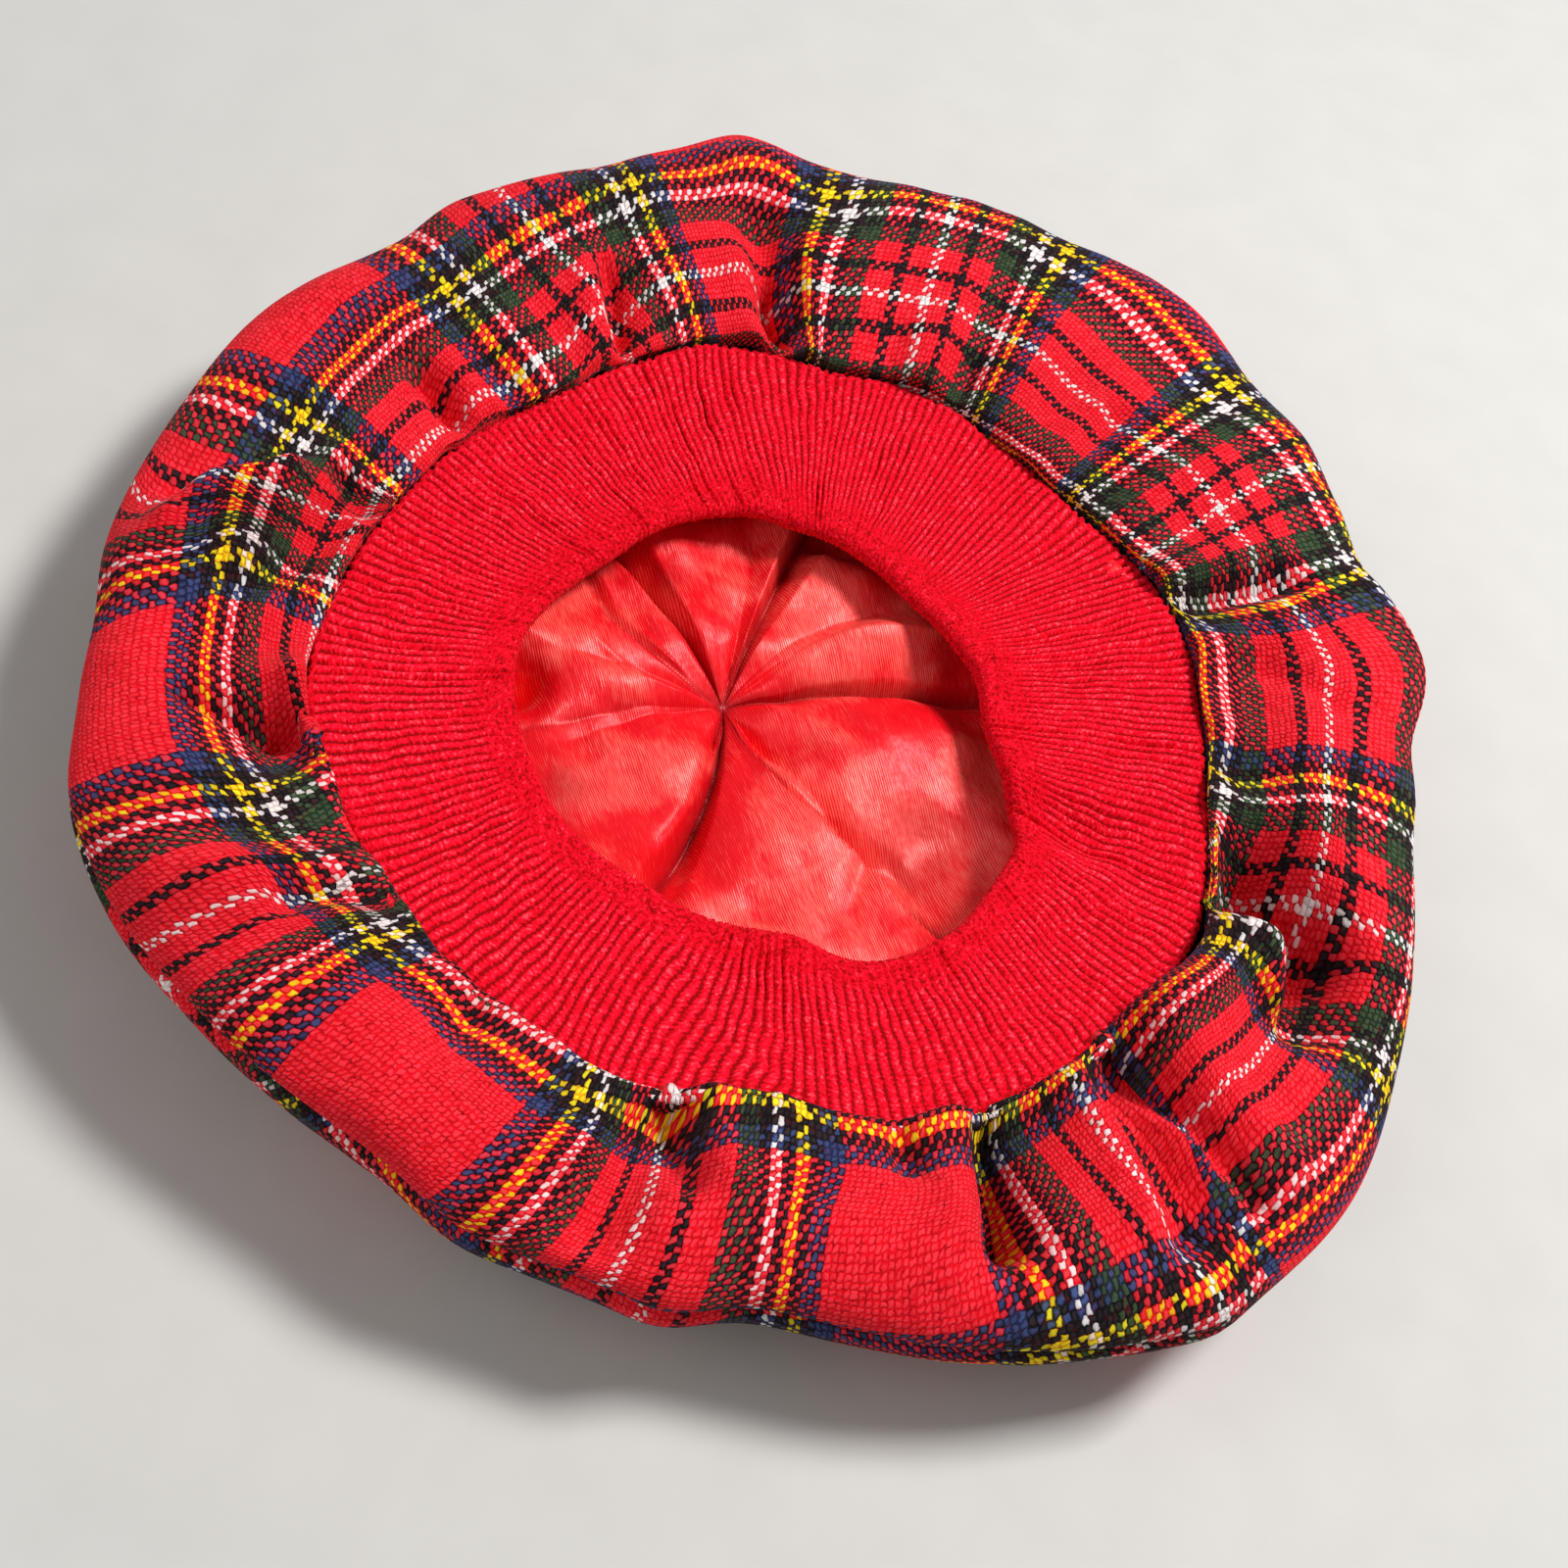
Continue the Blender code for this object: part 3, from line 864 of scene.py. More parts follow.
class Nodes:
    """The node tree of one material, with the one method that adds any node to it."""

    def __init__(self, name: str) -> None:
        """Makes the material, with its usual shader and output.

        Args:
            name: The material's name.
        """
        self.material = bpy.data.materials.new(name)
        self.material.use_nodes = True
        self.tree = self.material.node_tree
        self.shader = self.tree.nodes["Principled BSDF"]

    def make(self, kind: str, settings: dict[str, Any], values: dict[Any, Any]) -> list[Socket]:
        """Adds a node.

        Args:
            kind: The node's type.
            settings: Its own settings, set first; a ramp has its stops, as places and colours, and
                the way from stop to stop.
            values: Numbers, colours or sockets for its inputs, by name or index.

        Returns:
            Its outputs that are in use, in order.
        """
        node = self.tree.nodes.new(kind)
        for key, value in settings.items():
            if key == "stops":
                self.set_stops(node.color_ramp, value)
            elif key == "between":
                node.color_ramp.interpolation = value
            else:
                setattr(node, key, value)
        for key, value in values.items():
            self.feed(node.inputs[key], value)
        return [Socket(self, output) for output in node.outputs if output.enabled]

    def set_stops(self, ramp: bpy.types.ColorRamp, stops: Sequence[tuple]) -> None:
        """Puts a ramp's stops at their places, in their colours.

        Args:
            ramp: The ramp.
            stops: Places from 0 to 1, each with a colour.
        """
        while len(ramp.elements) > 1:
            ramp.elements.remove(ramp.elements[-1])
        for index, (place, color) in enumerate(stops):
            stop = ramp.elements[0] if index == 0 else ramp.elements.new(place)
            stop.position = place
            stop.color = (*color, 1.0)

    def feed(self, socket: bpy.types.NodeSocket, value: Any) -> None:
        """Links a socket to an input, or sets its value.

        Args:
            socket: The input.
            value: A socket, a number, a vector or a colour.
        """
        if isinstance(value, Socket):
            self.tree.links.new(value.output, socket)
        elif isinstance(value, tuple) and len(value) == 3 and socket.type == "RGBA":
            socket.default_value = (*value, 1.0)
        else:
            socket.default_value = value

    def finish(self, looks: dict[str, Any]) -> "Nodes":
        """Gives the shader its looks.

        Args:
            looks: Numbers, colours or sockets, by the names of the shader's inputs.

        Returns:
            These nodes.
        """
        for name, value in looks.items():
            self.feed(self.shader.inputs[name], value)
        return self

    def finish_sheen(self, sheen: Sheen) -> None:
        """Gives the shader the soft shine of fibres."""
        self.finish({"Sheen Weight": sheen.weight, "Sheen Roughness": sheen.spread})
        self.finish({"Sheen Tint": srgb(*sheen.tint)})

    def uv(self, layer: str) -> tuple[Socket, Socket, Socket]:
        """The place on a UV map: as one vector, along it and across it.

        Args:
            layer: The map's name.

        Returns:
            The place as one vector, its part along and its part across.
        """
        place = self.make("ShaderNodeUVMap", {"uv_map": layer}, {})[0]
        along, across, _ = self.split(place)
        return place, along, across

    def split(self, place: Socket) -> list[Socket]:
        """The three values of a vector."""
        return self.make("ShaderNodeSeparateXYZ", {}, {0: place})

    def object_place(self) -> Socket:
        """The place on the piece, in metres."""
        return self.make("ShaderNodeTexCoord", {}, {})[3]

    def vector(self, x: Any, y: Any, z: Any = 0.0) -> Socket:
        """A vector from three values."""
        return self.make("ShaderNodeCombineXYZ", {}, {0: x, 1: y, 2: z})[0]

    def noise(self, place: Socket, grain: Grain) -> Socket:
        """Noise at a place, from 0 to 1."""
        values = {"Vector": place, "Scale": grain.scale, "Detail": grain.detail}
        return self.make("ShaderNodeTexNoise", {}, values)[0]

    def chance(self, x: Socket, y: Socket, draw: float) -> Socket:
        """One value from 0 to 1 for each pair of whole numbers."""
        return self.make("ShaderNodeTexWhiteNoise", {}, {0: self.vector(x, y, draw)})[0]

    def ramp(self, value: Socket, stops: Sequence[tuple], between: str = "LINEAR") -> Socket:
        """The colour of a ramp at a value."""
        return self.make("ShaderNodeValToRGB", {"between": between, "stops": stops}, {0: value})[0]

    def mix(self, factor: Any, color: Any, other: Any, blend: str = "MIX") -> Socket:
        """One colour mixed with another by a factor."""
        settings = {"data_type": "RGBA", "blend_type": blend}
        return self.make("ShaderNodeMix", settings, {0: factor, 6: color, 7: other})[0]

    def dim(self, color: Socket, light: Socket) -> Socket:
        """A colour times a value."""
        return self.mix(1.0, color, self.vector(light, light, light), "MULTIPLY")

    def blend(self, factor: Any, value: Any, other: Any) -> Socket:
        """One value mixed with another by a factor."""
        return self.make("ShaderNodeMix", {"data_type": "FLOAT"}, {0: factor, 2: value, 3: other})[0]

    def bump(self, height: Socket, depth: float, strength: float = 1.0, under: Any = None) -> Socket:
        """The surface's normal with a relief.

        Args:
            height: The relief's height, from 0 to 1.
            depth: What the height 1 stands for, in metres.
            strength: How much of it shows.
            under: Normal of a broader relief below it.

        Returns:
            The normal.
        """
        values = {"Height": height, "Distance": depth, "Strength": strength}
        if under is not None:
            values["Normal"] = under
        return self.make("ShaderNodeBump", {}, values)[0]

    def dress(self, piece: bpy.types.Object) -> None:
        """Gives a piece this material alone."""
        piece.data.materials.clear()
        piece.data.materials.append(self.material)


def srgb(red: int, green: int, blue: int) -> tuple[float, float, float]:
    """A colour by its screen values, as linear light."""
    shares = (red / 255, green / 255, blue / 255)
    return tuple(s / 12.92 if s <= 0.04045 else ((s + 0.055) / 1.055) ** 2.4 for s in shares)


# ---------------------------------------------------------------- finishes

Tones = tuple[tuple[float, tuple[int, int, int]], ...]     # a ramp's places and screen colours


def stops(tones: Tones) -> list[tuple]:
    """A ramp's stops from its places and screen colours."""
    return [(place, srgb(*color)) for place, color in tones]


class Yarn(Enum):
    """The dyed yarns of the tartan, by the screen colours of their sides and of their tops. A top's lighter
    colour is a painted highlight on the crest of each float.
    """

    RED = ((236, 8, 28), (255, 62, 76))
    GREEN = ((32, 50, 34), (68, 90, 60))
    BLACK = ((12, 10, 12), (46, 38, 42))
    WHITE = ((228, 212, 208), (255, 255, 255))
    YELLOW = ((240, 176, 14), (255, 250, 40))
    BLUE = ((34, 40, 76), (66, 82, 130))

    @property
    def side(self) -> tuple[float, float, float]:
        """The colour of the yarn's sides as linear light."""
        return srgb(*self.value[0])

    @property
    def top(self) -> tuple[float, float, float]:
        """The colour of the yarn's top, a painted highlight, as linear light."""
        return srgb(*self.value[1])


class Threads(NamedTuple):
    """A stripe of the sett: how many threads from the middle it starts at, and its yarn."""

    start: int
    yarn: Yarn


class Streaks(NamedTuple):
    """A noise pattern drawn out along or across a piece: the stretches, its draw, scale and detail."""

    along: float
    across: float
    draw: float
    scale: float
    detail: float

    def lay(self, nodes: Nodes, along: Socket, across: Socket) -> Socket:
        """The noise at a place along and across, from 0 to 1."""
        place = nodes.vector(along * self.along, across * self.across, self.draw)
        return nodes.noise(place, Grain(self.scale, self.detail))


@dataclass(frozen=True)
class Tartan:
    """Plain-woven wool in a traditional tartan sett, counted in threads on UV maps."""

    name: str
    half_sett: int = 41
    layer: str = "threads"              # the map that the weave is counted on
    sett_layer: str = "sett"            # the map that the stripes are counted on
    waver: Grain = Grain(0.45)
    wobble: float = 0.30                # how far threads waver, in threads
    beat: Grain = Grain(0.95, 1.0)
    jitter: float = 0.80                # how unevenly the threads are beaten together, in threads
    waver_draw: float = 7.0             # the weft's own draw of each of the two
    beat_draw: float = 3.0
    jolts: Grain = Grain(1.15)
    jolt: float = 0.50                  # unevenness of single floats, in threads
    twist: float = 0.30                 # how slantwise a thread shows where it passes over
    roundness: float = 2.04             # how soon a thread falls away to its sides
    float_end: float = 1.90             # how soon it dives at a float's ends
    end_power: float = 4.0              # how abruptly it dives there
    float_draw: float = 2.0
    float_rise: tuple[float, float] = (0.30, 0.84)      # spread and least of the floats' heights
    fibre: Grain = Grain(3.3, 3.0)
    wear: Grain = Grain(0.08)
    shades: tuple[float, float, float] = (0.30, 0.14, 0.12)     # by fibres, wear and floats
    light: float = 0.94
    bleed: float = 0.32                 # how much a float is darkened by the yarn it crosses
    top: tuple[float, float] = (0.35, 1.0)              # heights between which a float's top shows its painted highlight
    top_fibres: float = 1.3
    top_least: float = 0.25
    top_floats: float = 0.4
    patch: Grain = Grain(0.8)
    gap_patches: float = 1.8
    gap_fibres: float = 0.6
    gap_light: float = 0.80             # painted shade: light left between the threads
    gap: tuple[float, float] = (0.10, 0.50)             # heights between which the gap ends
    edge_patches: float = 0.55
    edge_fibres: float = 0.35
    fluff: Grain = Grain(0.9, 4.0)
    fluff_edge: tuple[float, float] = (0.50, 0.85)
    fluff_most: float = 0.10            # most that red fluff hides
    fluff_color: tuple[int, int, int] = (225, 40, 52)
    roughness: float = 0.88
    gloss: float = 0.10
    sheen: Sheen = Sheen(0.05, 0.5, (255, 190, 190))
    relief: float = 0.00022
    relief_strength: float = 0.8
    relief_parts: tuple[float, float] = (0.9, 0.5)      # by threads and fibres
    stripes: tuple[Threads, ...] = (
        Threads(0, Yarn.WHITE),
        Threads(1, Yarn.RED),
        Threads(5, Yarn.BLACK),
        Threads(7, Yarn.RED),
        Threads(12, Yarn.GREEN),
        Threads(16, Yarn.BLACK),
        Threads(18, Yarn.WHITE),
        Threads(20, Yarn.BLACK),
        Threads(22, Yarn.YELLOW),
        Threads(24, Yarn.BLACK),
        Threads(26, Yarn.BLUE),
        Threads(29, Yarn.RED),
    )

    def stray(self, nodes: Nodes, waver_place: Socket, beat_place: Socket) -> Socket:
        """How far the threads of one direction stray from their places, in threads.

        Args:
            nodes: The material's nodes.
            waver_place: Where the threads' waver is read.
            beat_place: Where their uneven beating is read.

        Returns:
            The stray.
        """
        waver = nodes.noise(waver_place, self.waver) - 0.5
        beat = nodes.noise(beat_place, self.beat) - 0.5
        return waver * self.wobble + beat * self.jitter

    def yarn_colors(self, nodes: Nodes, index: Socket) -> tuple[Socket, Socket]:
        """The colours of the thread with a whole number.

        Args:
            nodes: The material's nodes.
            index: The thread's number.

        Returns:
            The colour of its sides, and of its top.
        """
        full = 2 * self.half_sett
        from_middle = ((index + (0.5 + self.half_sett)).wrap(full) - self.half_sett).size()
        share = from_middle * (1 / self.half_sett)
        sides = [(stripe.start / self.half_sett, stripe.yarn.side) for stripe in self.stripes]
        tops = [(stripe.start / self.half_sett, stripe.yarn.top) for stripe in self.stripes]
        return nodes.ramp(share, sides, "CONSTANT"), nodes.ramp(share, tops, "CONSTANT")

    def float_height(self, across: Socket, along: Socket) -> Socket:
        """Height of a thread where it passes over another. Offsets are in threads.

        Args:
            across: How far off its middle line.
            along: How far along it from the float's middle.

        Returns:
            The height, 1 in the middle.
        """
        twisted = across + along * self.twist
        round_yarn = (1 - (twisted * self.roundness) ** 2).math("MAXIMUM", 0.0)
        return round_yarn * (1 - (along * self.float_end) ** self.end_power)

    def build(self) -> Nodes:
        """Makes the material.

        Returns:
            Its nodes.
        """
        nodes = Nodes(self.name)
        place, along, across = nodes.uv(self.layer)
        _, sett_along, sett_across = nodes.uv(self.sett_layer)
        waver_place = nodes.vector(across, along, self.waver_draw)
        beat_place = nodes.vector(across, along, self.beat_draw)
        u_stray = self.stray(nodes, place, place)
        v_stray = self.stray(nodes, waver_place, beat_place)
        u, v = along + u_stray, across + v_stray
        u_index, v_index = u.floor(), v.floor()
        u_off, v_off = u - u_index - 0.5, v - v_index - 0.5
        over = (u_index + v_index).wrap(2.0)
        jolt = (nodes.noise(place, self.jolts) - 0.5) * self.jolt
        crossing = self.float_height(u_off + jolt, v_off - jolt)
        running = self.float_height(v_off - jolt, u_off + jolt)
        fibres = nodes.noise(place, self.fibre)
        fibre = fibres - 0.5
        chance = nodes.chance(u_index, v_index, self.float_draw)
        single = chance - 0.5
        spread, least = self.float_rise
        height = (nodes.blend(over, crossing, running) * (chance * spread + least)).clamp()
        warp_side, warp_top = self.yarn_colors(nodes, (sett_along + u_stray).floor())
        weft_side, weft_top = self.yarn_colors(nodes, (sett_across + v_stray).floor())
        crossed = nodes.mix(over, weft_side, warp_side)
        side = nodes.mix(self.bleed, nodes.mix(over, warp_side, weft_side), crossed, "DARKEN")
        top = nodes.mix(self.bleed, nodes.mix(over, warp_top, weft_top), crossed, "DARKEN")
        # A float's crest gets its yarn's painted highlight. The gap between the threads shows the darker of
        # the two yarns under a painted shade.
        lit = fibres * self.top_fibres + self.top_least + single * self.top_floats
        thread = nodes.mix((height.step(*self.top) * lit).clamp(), side, top)
        patch = nodes.noise(place, self.patch) - 0.5
        gap_light = (patch * self.gap_patches + fibre * self.gap_fibres + self.gap_light).clamp()
        gap = nodes.dim(nodes.mix(1.0, warp_side, weft_side, "DARKEN"), gap_light)
        edge = height + patch * self.edge_patches + fibre * self.edge_fibres
        woven = nodes.mix(edge.step(*self.gap), gap, thread)
        wear = nodes.noise(place, self.wear) - 0.5
        by_fibres, by_wear, by_floats = self.shades
        woven = nodes.dim(woven, fibre * by_fibres + wear * by_wear + single * by_floats + self.light)
        fluff = nodes.noise(place, self.fluff).step(*self.fluff_edge) * self.fluff_most
        cloth = nodes.mix(fluff, woven, srgb(*self.fluff_color))
        by_threads, by_fibres = self.relief_parts
        relief = nodes.bump(height * by_threads + fibres * by_fibres, self.relief, self.relief_strength)
        nodes.finish_sheen(self.sheen)
        return nodes.finish({
            "Base Color": cloth,
            "Roughness": self.roughness,
            "Specular IOR Level": self.gloss,
            "Normal": relief,
        })


@dataclass(frozen=True)
class Knit:
    """Red wool in a ribbed knit, counted in ribs and courses on a UV map."""

    name: str = "red_rib_knit"
    layer: str = "ribs"
    section_layer: str = "section"
    edge: tuple[float, float] = (0.40, 0.50)    # where the ribs fade out towards the free edge
    shake: Grain = Grain(1.3, 3.0)
    sway: Grain = Grain(0.35)
    course_sway: float = 1.6                    # unevenness of the courses, in courses
    course_shake: float = 0.9
    rib_shake: float = 0.30                     # unevenness of the ribs, in ribs
    slant: float = 0.7                          # how far a loop's legs slant, in courses
    loop_width: tuple[float, float, float] = (0.26, 0.74, 0.60)     # by loop, least, and by shake
    fibre: Streaks = Streaks(2.6, 1.5, 1.0, 1.4, 4.0)
    curl: Streaks = Streaks(1.2, 1.2, 9.0, 1.6, 3.0)
    patch: Streaks = Streaks(0.22, 0.07, 5.0, 1.0, 2.0)
    loop_draw: float = 4.0
    groove: tuple[float, float] = (0.50, 1.0)
    patch_edge: tuple[float, float] = (0.38, 0.62)
    groove_depth: tuple[float, float] = (0.30, 0.10)    # in patches, and everywhere
    heights: tuple[float, float, float] = (0.48, 0.20, 0.20)    # by rib, loop and single loop
    curl_height: tuple[float, float] = (1.5, 0.42)
    fuzz: float = 1.8
    light: float = 0.09
    # The ramp runs from the painted shade of the grooves up to the painted highlight of the ribs' tops, with
    # the yarn's own flecks.
    tones: Tones = (
        (0.0, (146, 0, 8)),
        (0.20, (186, 0, 14)),
        (0.44, (224, 2, 28)),
        (0.64, (243, 8, 40)),
        (0.84, (248, 32, 58)),
        (1.0, (255, 78, 92)),
    )
    roughness: float = 0.92
    gloss: float = 0.10
    sheen: Sheen = Sheen(0.06, 0.45, (255, 130, 140))
    relief: float = 0.00042
    relief_strength: float = 0.8
    relief_parts: tuple[float, float] = (0.9, 0.7)      # by loops and fibres

    def build(self) -> Nodes:
        """Makes the material.

        Returns:
            Its nodes.
        """
        nodes = Nodes(self.name)
        place, along, across = nodes.uv(self.layer)
        _, section, _ = nodes.uv(self.section_layer)
        shake = nodes.noise(place, self.shake) - 0.5
        sway = (nodes.noise(place, self.sway) - 0.5) * self.course_sway
        course = across + sway + shake * self.course_shake
        rib = along + shake * self.rib_shake
        off = (rib - rib.floor() - 0.5).size() * 2.0
        slanted = course - off * self.slant
        loop = 1 - ((slanted - slanted.floor() - 0.5) * 2.0) ** 2
        by_loop, least, by_shake = self.loop_width
        width = loop * by_loop + least + shake * by_shake
        ridge = (1 - (off * off) / (width * width)).clamp()
        fibres = self.fibre.lay(nodes, along, across)
        curls = self.curl.lay(nodes, along, across)
        patch = self.patch.lay(nodes, along, across)
        single = nodes.chance(rib.floor(), slanted.floor(), self.loop_draw) - 0.5
        in_patches, everywhere = self.groove_depth
        depth = patch.step(*self.patch_edge) * in_patches + everywhere
        groove = (1 - ridge).step(*self.groove) * depth
        by_rib, by_loop, by_single = self.heights
        ribbed = ridge * by_rib + loop * ridge * by_loop + single * ridge * by_single - groove
        curl_rise, curl_sink = self.curl_height
        height = nodes.blend(section.step(*self.edge), ribbed, curls * curl_rise - curl_sink)
        # The colour follows the relief: painted shade in the grooves and between the loops, painted
        # highlight on the ribs, beside the fibres' own flecks.
        tone = (height + (fibres - 0.5) * self.fuzz + self.light).clamp()
        by_loops, by_fibres = self.relief_parts
        relief = nodes.bump(height * by_loops + fibres * by_fibres, self.relief, self.relief_strength)
        nodes.finish_sheen(self.sheen)
        return nodes.finish({
            "Base Color": nodes.ramp(tone, stops(self.tones)),
            "Roughness": self.roughness,
            "Specular IOR Level": self.gloss,
            "Normal": relief,
        })


@dataclass(frozen=True)
class Satin:
    """Shiny red lining cloth, whose fine grain runs slantwise."""

    name: str = "red_lining_satin"
    # The map that carries the painted shade of the lining's grooves, pinch and dim places.
    layer: str = "dusk"
    grain_turn: float = 38.0                # the way the grain runs, in degrees
    waver: Grain = Grain(150.0)
    lines: tuple[float, float, float] = (13000.0, 1.4, 700.0)   # across, by waver and by height
    grain: tuple[float, float] = (2600.0, 300.0)                # across the grain, and along it
    crinkle: Grain = Grain(90.0, 3.0)
    broad: Grain = Grain(26.0)
    patch: Grain = Grain(48.0, 3.0)
    patch_edge: tuple[float, float] = (0.42, 0.60)
    tone_parts: tuple[float, float, float] = (0.80, 0.45, 0.40)     # by grain, lines and patches
    light: float = 0.25
    tones: Tones = (
        (0.18, (226, 0, 18)),
        (0.52, (246, 18, 34)),
        (0.92, (255, 112, 98)),
    )
    # Painted shade: how far, and towards which colour, the grooves and dim places are darkened.
    dark: float = 0.85
    painted_shade_color: tuple[int, int, int] = (112, 0, 6)
    metal: float = 0.15
    roughness: float = 0.38
    uneven: float = 0.12
    gloss: float = 0.35
    sheen: Sheen = Sheen(0.06, 0.5, (255, 130, 120))
    crinkle_depth: float = 0.0015
    crinkle_strength: float = 0.55
    relief: float = 0.00010
    relief_strength: float = 0.8
    line_relief: float = 0.4

    def build(self) -> Nodes:
        """Makes the material.

        Returns:
            Its nodes.
        """
        nodes = Nodes(self.name)
        place = nodes.object_place()
        x, y, z = nodes.split(place)
        turn = math.radians(self.grain_turn)
        across = x * math.cos(turn) + y * math.sin(turn)
        along = y * math.cos(turn) - x * math.sin(turn)
        waver = nodes.noise(place, self.waver) - 0.5
        by_across, by_waver, by_height = self.lines
        line = (across * by_across + waver * by_waver + z * by_height).math("SINE") * 0.5 + 0.5
        fine, drawn = self.grain
        grain = nodes.noise(nodes.vector(across * fine, along * drawn, z * drawn), Grain(1.0))
        broad = nodes.noise(place, self.broad)
        patch = nodes.noise(place, self.patch).step(*self.patch_edge)
        by_grain, by_line, by_patch = self.tone_parts
        tone = (grain - 0.5) * by_grain + line * by_line + (patch - 0.5) * by_patch + self.light
        color = nodes.ramp(tone.clamp(), stops(self.tones))
        # Painted shade: the lining's map says how far its grooves, pinch and dim places are darkened.
        _, dusk, _ = nodes.uv(self.layer)
        soft = nodes.bump(nodes.noise(place, self.crinkle), self.crinkle_depth, self.crinkle_strength)
        weave = grain + line * self.line_relief
        nodes.finish_sheen(self.sheen)
        return nodes.finish({
            "Base Color": nodes.mix(dusk * self.dark, color, srgb(*self.painted_shade_color)),
            "Metallic": self.metal,
            "Roughness": (broad - 0.5) * self.uneven + self.roughness,
            "Specular IOR Level": self.gloss,
            "Normal": nodes.bump(weave, self.relief, self.relief_strength, soft),
        })


@dataclass(frozen=True)
class PlainFloor:
    """A plain pale floor."""

    name: str = "pale_floor"
    color: tuple[int, int, int] = (196, 194, 190)
    grain: Grain = Grain(60.0, 3.0)
    grain_edge: tuple[float, float] = (0.3, 0.7)
    lighter: float = 1.04
    roughness: float = 0.85

    def build(self) -> Nodes:
        """Makes the material.

        Returns:
            Its nodes.
        """
        nodes = Nodes(self.name)
        base = srgb(*self.color)
        lighter = tuple(part * self.lighter for part in base)
        grain = nodes.noise(nodes.object_place(), self.grain)
        color = nodes.ramp(grain, list(zip(self.grain_edge, (base, lighter))))
        return nodes.finish({"Base Color": color, "Roughness": self.roughness})


# ---------------------------------------------------------------- sewing


def sew(
    name: str,
    points: np.ndarray,
    patterns: dict[str, tuple[np.ndarray, np.ndarray]],
    finish: Nodes,
    thickness: float = 0.0,
) -> bpy.types.Object:
    """Makes a piece of cloth and dresses it.

    Args:
        name: The piece's name.
        points: Its points, by column and row.
        patterns: Places of the points on the cloth's patterns, by the names of the UV maps.
        finish: Its material.
        thickness: Its thickness in metres, or 0 where the points close round it.

    Returns:
        The piece.
    """
    grid = Grid(name, points.shape[0] - 1, points.shape[1] - 1)
    grid.shape(points)
    for layer, (u, v) in patterns.items():
        grid.lay_pattern(layer, u, v)
    grid.close()
    if thickness:
        grid.wall(thickness)
    finish.dress(grid.piece)
    return grid.piece


@dataclass(frozen=True)
class RimSeam:
    """How the ring and the top disc turn in at the rim's seam."""

    rows: int = 3
    tuck: float = 0.0016
    hem: float = 0.0025

    def turn_in(self, points: np.ndarray, angle: np.ndarray, side: int) -> None:
        """Turns the last rows of a piece in.

        Args:
            points: The piece's points, by column and row.
            angle: Their angles.
            side: 1 to turn them up, and -1 to turn them down.
        """
        part = np.linspace(0.0, 1.0, self.rows + 1)[1:]
        x, y = plan(self.tuck * part, angle[:, -self.rows:])
        points[:, -self.rows:] -= stack(x, y, -side * self.hem * part)


# ---------------------------------------------------------------- the underside ring


